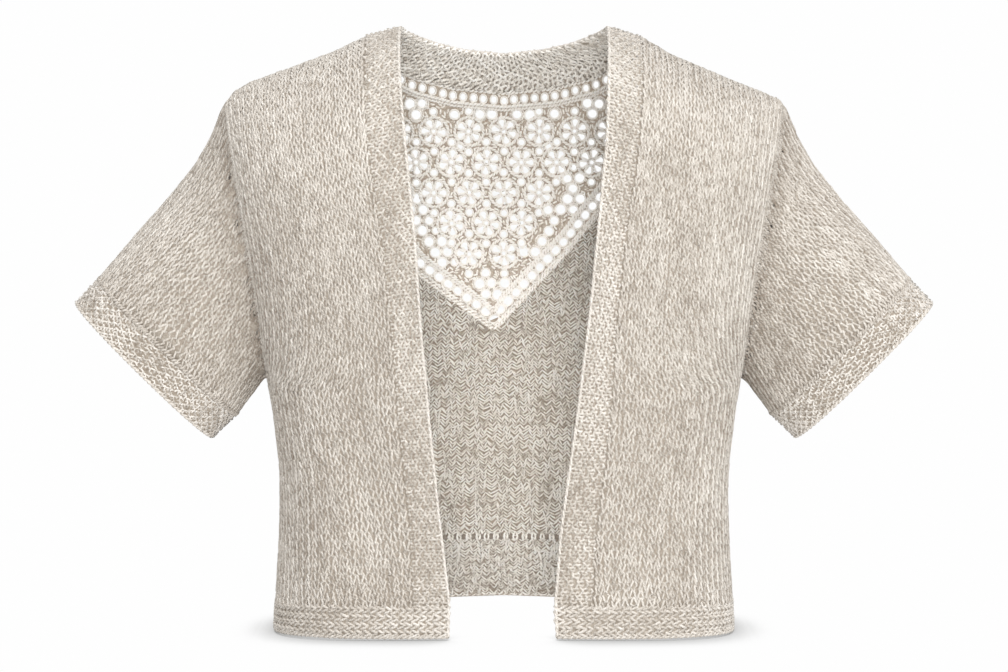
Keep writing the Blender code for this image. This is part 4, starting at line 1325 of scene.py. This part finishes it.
def strand(points, radius, lift=0.0, tone=0.2, step=0.0018):
    """A single strand through points.  lift, radius and tone may be lists."""
    q = smooth_line(points, step)
    t = np.linspace(0, 1, len(q))
    LAID.append(smooth_line(points, 0.0008))

    def spread(v):
        return np.interp(t, np.linspace(0, 1, len(v)), v) if hasattr(v, "__len__") else np.full(len(q), float(v))
    p, n = lay(q[:, 0], q[:, 1], spread(lift))
    lace.add(p, n, spread(radius), spread(tone) + lace_rng.uniform(-0.2, 0.2))


def twisted(points, radius=0.00095, wide=0.00085, pitch=0.0075, plies=3, tone=0.35, lift=0.0):
    q = smooth_line(points, 0.002)
    LAID.append(smooth_line(points, 0.0008))
    p, n = lay(q[:, 0], q[:, 1])
    cord(lace, p, n, radius, wide, pitch, plies=plies, tone=tone, samples_per_pitch=6, lift=lift,
         seed=int(lace_rng.integers(1000)), shade=0.85)


def leaf(a, b, wide, tone=0.42, lift=0.0008, strands=3, radius=0.00120, bend=0.0):
    """A long puff of strands from a, where they meet, to b, where they turn."""
    a, b = np.asarray(a, float), np.asarray(b, float)
    d = b - a
    length = np.linalg.norm(d)
    side = np.array([-d[1], d[0]]) / max(length, 1e-9)
    t = np.array([0.0, 0.20, 0.50, 0.80, 1.0])
    bow = np.array([0.12, 0.50, 0.92, 1.0, 0.55])
    spine = a + d * t[:, None] + side * (bend * length * np.sin(math.pi * t))[:, None]
    for k in np.linspace(-1, 1, strands):
        line = spine + side * (k * (wide / 2) * bow)[:, None]
        line[-1] -= d / max(length, 1e-9) * 0.0012 * abs(k)
        up = lift + 0.0011 * (1 - abs(k)) * np.sin(math.pi * np.linspace(0.05, 0.95, 5))
        shade = (tone + np.array([-1.5, -0.55, 0.15, 0.20, -0.75]) + lace_rng.uniform(-0.45, 0.35)
                 - 0.40 * abs(k) + 0.15)
        strand(line, [radius * 0.7, radius * 0.95, radius * 1.05, radius, radius * 0.8], lift=list(up), tone=list(shade),
               step=0.0036)


def knot(at, size, tone=0.1):
    """A small wound bobble."""
    a = np.linspace(0, 2 * math.pi * 1.1, 7) + lace_rng.uniform(0, 6)
    line = np.stack([at[0] + size * 0.55 * np.cos(a), at[1] + size * 0.55 * np.sin(a)], axis=1)
    strand(line, size * 0.55, lift=0.0008, tone=tone, step=0.0024)


def top_line(x):
    return neck_seam(x) - 0.0006


def low_line(x):
    return yoke_edge(x) + 0.0006


def line_a(x):
    """The cord below the neck's eyelets."""
    return top_line(x) - NECK_ROW


def line_b(x):
    """The cord along the edge, EDGE_ROW from it measured straight across."""
    e = 0.004
    lean = (low_line(x + e) - low_line(x - e)) / (2 * e)
    return low_line(x) + EDGE_ROW * np.sqrt(1 + np.clip(lean, -1.4, 1.4) ** 2)


# Openings: x, z, width, height in mm, turn in degrees, egg (+ is wide above),
# and whether it is one of a net, which has bobbles at its crossings.
OPEN = []


def opening(x, z, wide, tall, turn=0.0, egg=0.0, net=False):
    jog = lace_rng.uniform(-0.35, 0.35, 2)
    OPEN.append(((x + jog[0]) / 1000.0, (z + jog[1]) / 1000.0, wide / 2000.0, tall / 2000.0, math.radians(turn), egg, net))


def depth_in(hole, x, z, grow=0.0):
    """Below 1 inside the opening, 1 on its edge."""
    cx, cz, rx, rz, turn, egg, net = hole
    dx, dz = x - cx, z - cz
    u, v = dx * math.cos(turn) + dz * math.sin(turn), -dx * math.sin(turn) + dz * math.cos(turn)
    w = v / (rz + grow)
    return np.sqrt((u / ((rx + grow) * (1 + egg * np.clip(w, -1.2, 1.2)))) ** 2 + w ** 2)


def edge_of(hole, grow, count=19, part=(0, 1)):
    cx, cz, rx, rz, turn, egg, net = hole
    a = np.linspace(part[0], part[1], count) * 2 * math.pi
    v = (rz + grow) * np.sin(a)
    u = (rx + grow) * np.cos(a) * (1 + egg * np.sin(a))
    return np.stack([cx + u * math.cos(turn) - v * math.sin(turn), cz + u * math.sin(turn) + v * math.cos(turn)], axis=1)


def in_any(x, z, skip=None, shrink=0.97, grow=0.0):
    out = np.zeros(np.shape(x), bool)
    for i, hole in enumerate(OPEN):
        if i != skip:
            out |= depth_in(hole, x, z, grow) < shrink
    return out


# Places that wheels fill, so that no netting is put there.
FULL = []


def full(x, z, rx, rz, turn=0.0):
    FULL.append((x / 1000.0, z / 1000.0, rx / 1000.0, rz / 1000.0, math.radians(turn), 0.0, False))


def is_full(x, z):
    return any(depth_in(f, x, z) < 1 for f in FULL)


# --- the cords
xs = np.linspace(YOKE_END["left"] + 0.003, YOKE_END["right"] - 0.003, 70)
above_edge = [(x, float(line_b(x))) for x in xs if float(line_b(x)) < float(top_line(x)) - 0.004]
below_neck = [(x, float(line_a(x))) for x in np.linspace(-0.112, 0.112, 48)]
for path in (above_edge, below_neck):
    twisted([(x, z + 0.0012) for x, z in path], radius=0.00110, wide=0.00085, pitch=0.0068, plies=2, tone=0.35,
            lift=0.0014)
    twisted([(x, z - 0.0018) for x, z in path], radius=0.00105, wide=0.00085, pitch=0.0060, plies=2, tone=0.00,
            lift=0.0008)
xs = np.linspace(YOKE_END["left"] + 0.001, YOKE_END["right"] - 0.001, 60)
twisted([(x, float(min(yoke_edge(x) + 0.0004, to_ridge(x)))) for x in xs], radius=0.00125, wide=0.00100,
        pitch=0.0080, plies=2, tone=0.25, lift=0.0002)
twisted([(x, float(min(yoke_edge(x) - 0.0030, to_ridge(x)))) for x in xs], radius=0.00120, wide=0.00100,
        pitch=0.0080, plies=2, tone=0.10, lift=0.0006)
xs = np.linspace(-0.1145, 0.1145, 50)
twisted([(x, float(top_line(x)) - 0.0006) for x in xs], radius=0.00110, wide=0.00095, pitch=0.0080, plies=2, tone=0.25)
for side_name, sign in (("left", -1), ("right", 1)):
    xs = np.linspace(sign * 0.1155, YOKE_END[side_name] - sign * 0.001, 14)
    twisted([(x, float(to_ridge(x)) - 3e-5) for x in xs], radius=0.00105, wide=0.00080, pitch=0.0070, plies=2,
            tone=0.2)

# --- eyelets by the neck
for i in range(-11, 12):
    x = 0.0090 * i
    opening(1000 * x, 1000 * float(top_line(x)) - 6.6, 5.0, 6.2)


# --- the wheels
def wheel(cx, cz):
    opening(1000 * cx, 1000 * cz, 3.4, 3.4)
    turn = lace_rng.uniform(0, 1)
    for i in range(WHEEL_SPOKES):
        a = 2 * math.pi * (i + turn) / WHEEL_SPOKES
        opening(1000 * (cx + 0.0074 * math.cos(a)), 1000 * (cz + 0.0074 * math.sin(a)), 5.2, 6.8,
                math.degrees(a) - 90, 0.22)
        b = a + math.pi / WHEEL_SPOKES
        leaf((cx + 0.0026 * math.cos(b), cz + 0.0026 * math.sin(b)),
             (cx + 0.0112 * math.cos(b), cz + 0.0112 * math.sin(b)), 0.0028, strands=2, radius=0.00110)
    rim = np.linspace(0, 2 * math.pi, 19) + turn
    twisted([(cx + WHEEL_RIM * math.cos(a), cz + WHEEL_RIM * math.sin(a)) for a in rim], radius=0.00105,
            wide=0.00080, pitch=0.0064, plies=2, tone=0.25, lift=0.0010)
    full(1000 * cx, 1000 * cz, 13.6, 13.6)


wheels = []
around = np.linspace(0, 2 * math.pi, 16, endpoint=False)
for row in range(7):
    for i in range(-6, 7):
        cx, cz = (i + 0.5 * (row % 2)) * WHEEL_PITCH, WHEEL_TOP - row * WHEEL_ROW
        px, pz = cx + (WHEEL_RIM + 0.0016) * np.cos(around), cz + (WHEEL_RIM + 0.0016) * np.sin(around)
        room = all(float(line_b(x)) < z < min(float(line_a(x)), float(to_ridge(x)) - 0.012) for x, z in zip(px, pz))
        if room:
            wheels.append((cx, cz))
for cx, cz in wheels:
    wheel(cx, cz)
# a mesh where three wheels meet
for cx, cz in wheels:
    for down in (-0.0178, 0.0178):
        x, z = cx, cz + down
        clear = all(math.hypot(x - a, z - b) > 0.0165 for a, b in wheels)
        apart = all(math.hypot(x - h[0], z - h[1]) > 0.0070 for h in OPEN)
        if clear and apart and float(line_b(x)) + 0.0045 < z < float(line_a(x)) - 0.0045:
            opening(1000 * x, 1000 * z, 5.4, 5.4, 0, 0, True)

# --- round meshes wherever there is room between the cords
cell = 0.0112
for j in range(26):
    for i in range(-17, 17):
        x = (i + 0.5 * (j % 2)) * cell + 0.0004
        z = -0.052 - j * cell * 0.84
        if not (line_b(x) + 0.0065 < z < line_a(x) - 0.0065):
            continue
        if is_full(x, z) or z > float(to_ridge(x)) - 0.006:
            continue
        near = [h for h in OPEN if depth_in(h, x, z, 0.0052) < 1]
        if near or any(depth_in(f, x, z) < 1.0 or math.hypot((x - f[0]), (z - f[1])) < 0.002 for f in FULL):
            continue
        if any(depth_in((f[0], f[1], f[2] + 0.0026, f[3] + 0.0026, f[4], 0, 0), x, z) < 1 for f in FULL):
            OPEN.append((x, z, 0.0024, 0.0026, 0.0, 0.0, True))
        else:
            r = 0.0039 + lace_rng.uniform(-0.0004, 0.0004)
            OPEN.append((x + lace_rng.uniform(-0.0006, 0.0006), z + lace_rng.uniform(-0.0006, 0.0006), r,
                         r * lace_rng.uniform(0.92, 1.08), lace_rng.uniform(-0.4, 0.4), 0.0, True))

# --- rows of meshes from the lower cord to the yoke's edge
xs = np.linspace(-0.150, 0.140, 900)
edge_z = np.array([float(low_line(x)) for x in xs])
cord_z = np.array([float(line_b(x)) for x in xs])
mid_z = (edge_z + cord_z) / 2
run = np.concatenate([[0], np.cumsum(np.hypot(np.diff(xs), np.diff(mid_z)))])
slope = np.gradient(mid_z, xs)
gap = (cord_z - edge_z) / np.sqrt(1 + slope ** 2)          # straight across the strip
for row_count, x_from, x_to in ((1, -0.138, 0.128),):
    s0, s1 = np.interp([x_from, x_to], xs, run)
    count = int(round((s1 - s0) / 0.0103))
    for row in range(row_count):
        for i in range(count):
            s_at = s0 + (i + 0.5 + 0.5 * (row % 2)) * (s1 - s0) / count
            if s_at > s1:
                continue
            x = float(np.interp(s_at, run, xs))
            g = float(np.interp(s_at, run, gap))
            m = float(np.interp(s_at, run, slope))
            tall = (g - 0.0040) / row_count
            if tall < 0.0030:
                continue
            off = (-g / 2 + 0.0020 + tall * (row + 0.5))
            nx, nz = -m / math.hypot(1, m), 1 / math.hypot(1, m)
            z = float(np.interp(x, xs, mid_z))
            wide = (min(0.0078, tall * 1.15) if tall > 0.0052 else 0.0064) * lace_rng.uniform(0.9, 1.05)
            OPEN.append((x + nx * off, z + nz * off, wide / 2, min(tall, 0.0098) * 0.38 * lace_rng.uniform(0.95, 1.1),
                         math.atan(m) + lace_rng.uniform(-0.15, 0.15), 0.0, True))

# --- strands round every opening, and bobbles where meshes meet
for i, hole in enumerate(OPEN):
    for grow, radius, lift, tone in ((0.0007, 0.00100, 0.0009, 0.30), (0.0024, 0.00095, 0.0004, -0.35)):
        if grow > 0.002 and (hole[2] < 0.0029 or (hole[6] and i % 2)):
            continue
        turn = lace_rng.uniform(0, 1)
        size = (hole[2] + hole[3])
        count = int(np.clip(size * 1400, 11, 25))
        line = edge_of(hole, grow, count, (turn, turn + 1))
        blocked = in_any(line[:, 0], line[:, 1], skip=i, shrink=0.95)
        blocked |= line[:, 1] > to_ridge(line[:, 0]) - 0.0006
        for first, past in runs_of(~blocked):
            if past - first >= 3:
                strand(line[first:past], radius, lift=lift + lace_rng.uniform(-0.0002, 0.0002),
                       tone=tone + lace_rng.uniform(-0.15, 0.15), step=0.0030)
nets = [h for h in OPEN if h[6]]
for i, h in enumerate(nets):
    for q in nets[i + 1:]:
        if 0.006 < math.hypot(h[0] - q[0], h[1] - q[1]) < 0.0135 and lace_rng.uniform() < 0.8:
            x, z = (h[0] + q[0]) / 2, (h[1] + q[1]) / 2
            if not in_any(np.array([x]), np.array([z]), shrink=1.0)[0]:
                knot((x, z), 0.0017, tone=lace_rng.uniform(-0.3, 0.5))

# --- rows along the shoulder seams, where the yoke lies back over the shoulder
for side_name, sign in (("left", -1), ("right", 1)):
    xs = np.linspace(sign * 0.1165, YOKE_END[side_name] + sign * 0.0006, 36)
    down = []
    for x in xs:
        z = float(to_ridge(x)) - 2e-6 - 0.030 * np.linspace(0, 1, 120) ** 2
        p = torso(+1, np.full(len(z), x), z)
        down.append((np.concatenate([[0], np.cumsum(np.linalg.norm(np.diff(p, axis=0), axis=1))]), z))
    for row in range(14):
        s_at = 0.0030 + 0.0023 * row + 0.0006 * np.sin(xs * 2 * math.pi / 0.0052 + row * 2.2)
        z = np.array([float(np.interp(v, arc, zs)) for v, (arc, zs) in zip(s_at, down)])
        below = np.array([float(np.interp(v + 0.0010, arc, zs)) for v, (arc, zs) in zip(s_at, down)])
        laid_back = (z - below) / 0.0010 < 0.78
        keep = laid_back & (z > np.array([float(low_line(x)) for x in xs]) - 0.0024)
        keep &= ~in_any(xs, z, shrink=1.0, grow=0.0012)
        for first, past in runs_of(keep):
            if past - first >= 3:
                strand(np.stack([xs[first:past], z[first:past]], axis=1), 0.00112,
                       lift=0.0003 + 0.0003 * (row % 2), tone=0.10 if row % 2 else -0.55, step=0.0016)

# --- short stitches wherever nothing has been laid yet, round the openings
taken = np.concatenate(LAID)
step = 0.0021
for j in range(int(0.26 / step)):
    for i in range(int(0.335 / step)):
        x = -0.1735 + step * (i + 0.5 * (j % 2)) + lace_rng.uniform(-0.0006, 0.0006)
        z = -0.262 + step * j + lace_rng.uniform(-0.0006, 0.0006)
        if not (float(low_line(x)) + 0.0012 < z < float(top_line(x)) - 0.0012):
            continue
        if np.min((taken[:, 0] - x) ** 2 + (taken[:, 1] - z) ** 2) < 0.00185 ** 2:
            continue
        best = min(OPEN, key=lambda h: depth_in(h, x, z))
        a = math.atan2(z - best[1], x - best[0]) + math.pi / 2 + lace_rng.uniform(-0.35, 0.35)
        c, s = math.cos(a) * 0.0026, math.sin(a) * 0.0026
        ends = np.array([[x - c, z - s], [x, z], [x + c, z + s]])
        if in_any(ends[:, 0], ends[:, 1], shrink=1.0, grow=0.0007).any():
            continue
        strand(ends, [0.0008, 0.00112, 0.0008], lift=[-0.0003, 0.0008, -0.0003], tone=lace_rng.uniform(-0.55, 0.60),
               step=0.0028)
        taken = np.concatenate([taken, smooth_line(ends, 0.0008)])

# --- the ground of the crochet: a thin sheet with the openings cut in it, its darker tan painted shade between the strands
cols, rows = 132, 86
gx = np.linspace(YOKE_END["left"] + 0.0004, YOKE_END["right"] - 0.0004, cols + 1)
grid_x = np.repeat(gx[:, None], rows + 1, axis=1)
lean_at = np.gradient(np.array([float(low_line(x)) for x in gx]), gx)
lo = np.array([float(low_line(x)) for x in gx]) - 0.0036 * np.sqrt(1 + lean_at ** 2)
hi = np.array([max(float(top_line(x)), float(low_line(x)) + 0.002) for x in gx])
hi = np.where(np.abs(gx) > 0.1150, to_ridge(gx) - 2e-6, np.minimum(hi, to_ridge(gx)))
t = np.linspace(0, 1, rows + 1)[None, :]
grid_z = lo[:, None] + (hi - lo)[:, None] * t
inside = np.zeros(grid_x.shape, bool)
pitch = 0.0026
for hole in OPEN:
    hole = (hole[0], hole[1], hole[2] + 0.0004, hole[3] + 0.0004) + hole[4:]
    d = depth_in(hole, grid_x, grid_z)
    size = min(hole[2], hole[3])
    far = (d - 1) * size                              # about how far outside its edge
    near = (far < pitch * 0.46) & (far > -pitch * 0.60)
    cx, cz = hole[0], hole[1]
    grid_x = np.where(near, cx + (grid_x - cx) / np.maximum(d, 1e-6), grid_x)
    grid_z = np.where(near, cz + (grid_z - cz) / np.maximum(d, 1e-6), grid_z)
mid_x = (grid_x[:-1, :-1] + grid_x[1:, :-1] + grid_x[:-1, 1:] + grid_x[1:, 1:]) / 4
mid_zz = (grid_z[:-1, :-1] + grid_z[1:, :-1] + grid_z[:-1, 1:] + grid_z[1:, 1:]) / 4
deep_in = in_any(grid_x, grid_z, shrink=0.97, grow=0.0004)
gone = in_any(mid_x, mid_zz, shrink=1.0, grow=0.0004)
gone |= deep_in[:-1, :-1] | deep_in[1:, :-1] | deep_in[:-1, 1:] | deep_in[1:, 1:]
# it lies at the middle of the yarn, which shows on both of its sides
points, normals = lay(grid_x.ravel(), grid_z.ravel(), 0.0004 + 0.0008 * (grid_z.ravel() < yoke_edge(grid_x.ravel())))


def sheet_with_openings(name, points, normals, gone, material, thick=0.0004):
    nu, nv = gone.shape[0] + 1, gone.shape[1] + 1
    count = nu * nv
    verts = np.concatenate([points + normals * thick / 2, points - normals * thick / 2])
    number = np.arange(count).reshape(nu, nv)
    quads = []
    keep = ~gone
    a, b, c, d = number[:-1, :-1][keep], number[1:, :-1][keep], number[1:, 1:][keep], number[:-1, 1:][keep]
    top = np.stack([a, b, c, d], axis=1)
    e1, e2 = verts[top[0, 1]] - verts[top[0, 0]], verts[top[0, 3]] - verts[top[0, 0]]
    if np.dot(np.cross(e1, e2), normals[top[0, 0]]) < 0:
        top = top[:, ::-1]
    quads = [top, (top + count)[:, ::-1]]
    sides = np.concatenate([top[:, [k, (k + 1) % 4]] for k in range(4)])
    known = {tuple(e) for e in sides.tolist()}
    rim = np.array([(y, x, x + count, y + count) for x, y in known if (y, x) not in known])
    quads = np.concatenate(quads + [rim])
    used, inverse = np.unique(quads, return_inverse=True)
    return make_mesh(name, verts[used], inverse.reshape(quads.shape), None, {}, material)


yoke = sheet_with_openings("crochet_ground", points, normals, gone, ground_lace)
yarn = lace.build("crochet_yoke", lace_yarn)
for piece in (yoke, yarn):
    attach(piece, "root")
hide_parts("lace_yoke")


# -------------------------------------------------------- floor and light ---
lowest = min(float(np.array([v.co for v in o.data.vertices])[:, 2].min())
             for o in bpy.data.objects if o.type == 'MESH' and o.name.startswith("yarn_hem"))


size = 12.0
floor_mesh = bpy.data.meshes.new("floor")
marks = np.concatenate([[-size], np.linspace(-0.30, 0.30, 41), [size]])
ways = np.concatenate([[-size], np.linspace(-0.40, 0.30, 41), [size * 3]])
fx, fy = np.meshgrid(marks, ways, indexing="ij")
# the ground swells by a few millimetres under the hems, which hang in a curve, so that the floor's painted contact
# shadow meets them
swell = 0.0076 * np.clip(1 - (fx / 0.205) ** 2, 0, 1) * np.clip(1.5 - np.abs(fy + 0.0) / 0.20, 0, 1)
corners = np.stack([fx.ravel(), fy.ravel(), swell.ravel()], axis=1)
count = len(ways)
tiles = [(i * count + j, (i + 1) * count + j, (i + 1) * count + j + 1, i * count + j + 1)
         for i in range(len(marks) - 1) for j in range(count - 1)]
floor_mesh.from_pydata(corners.tolist(), [], tiles)
# the floor glows evenly white, with a painted contact shadow, darkened by ambient occlusion near the hems, and none on
# the floor seen between the fronts
floor_look = Nodes("floor_white_painted_shadow")
near = floor_look.node("ShaderNodeAmbientOcclusion", samples=12)
near.inputs["Distance"].default_value = 0.050
glow = floor_look.node("ShaderNodeEmission")
split = floor_look.node("ShaderNodeSeparateXYZ")
floor_look.link(floor_look.node("ShaderNodeTexCoord").outputs["Object"], split.inputs[0])
opening_floor = floor_look.math('MINIMUM', floor_look.spread(split.outputs[1], -0.085, -0.06),
                                floor_look.spread(floor_look.math('ABSOLUTE', split.outputs[0]), 0.085, 0.055))
level = floor_look.math('MAXIMUM', floor_look.spread(near.outputs["AO"], 0.25, 0.85), opening_floor)
floor_look.link(floor_look.mix(level, (0.20, 0.195, 0.185), (0.992, 0.992, 0.992)), glow.inputs["Color"])
floor_look.link(glow.outputs[0], floor_look.tree.nodes["Material Output"].inputs["Surface"])
floor_mesh.materials.append(floor_look.material)
floor = bpy.data.objects.new("floor", floor_mesh)
floor.location.z = lowest - 0.0006
bpy.context.scene.collection.objects.link(floor)


def sun_light(name, toward, strength, angle, colour=(1, 1, 1)):
    data = bpy.data.lights.new(name, 'SUN')
    data.energy = strength
    data.angle = math.radians(angle)
    data.color = colour
    ob = bpy.data.objects.new(name, data)
    ob.rotation_euler = Vector(toward).to_track_quat('Z', 'Y').to_euler()
    bpy.context.scene.collection.objects.link(ob)
    return ob


lamp = bpy.data.lights.new("key", 'AREA')
lamp.shape, lamp.size, lamp.energy = 'DISK', 0.9, 30.5
key = bpy.data.objects.new("key", lamp)
key.location = (0.02, -2.5, 0.0)
key.rotation_euler = (Vector((0, 0, -0.2)) - key.location).to_track_quat('-Z', 'Y').to_euler()
bpy.context.scene.collection.objects.link(key)
# a soft fill in the opening, towards the inside of the back
lamp = bpy.data.lights.new("inside", 'AREA')
lamp.shape, lamp.size, lamp.size_y, lamp.energy = 'RECTANGLE', 0.10, 0.26, 0.140
fill = bpy.data.objects.new("inside", lamp)
fill.location = (0.0, -0.050, -0.345)
fill.rotation_euler = (math.radians(90), 0, 0)
fill.visible_camera = False
bpy.context.scene.collection.objects.link(fill)
sun_light("side", (0.95, -1.0, 0.35), 1.05, 40.0, (0.955, 0.98, 1.0))
sun_light("overhead", (0.18, -0.45, 1.0), 1.98, 60.0)
sun_light("behind", (-0.5, 1.0, 0.7), 1.5, 60.0)

world = bpy.data.worlds.new("studio")
world.use_nodes = True
bpy.context.scene.world = world
tree = world.node_tree
background = tree.nodes["Background"]
background.inputs[0].default_value = (1.0, 1.0, 1.0, 1.0)
background.inputs[1].default_value = 0.28
seen = tree.nodes.new("ShaderNodeBackground")
seen.inputs[0].default_value = (0.992, 0.992, 0.992, 1.0)
path = tree.nodes.new("ShaderNodeLightPath")
both = tree.nodes.new("ShaderNodeMixShader")
tree.links.new(path.outputs["Is Camera Ray"], both.inputs[0])
tree.links.new(background.outputs[0], both.inputs[1])
tree.links.new(seen.outputs[0], both.inputs[2])
tree.links.new(both.outputs[0], tree.nodes["World Output"].inputs[0])
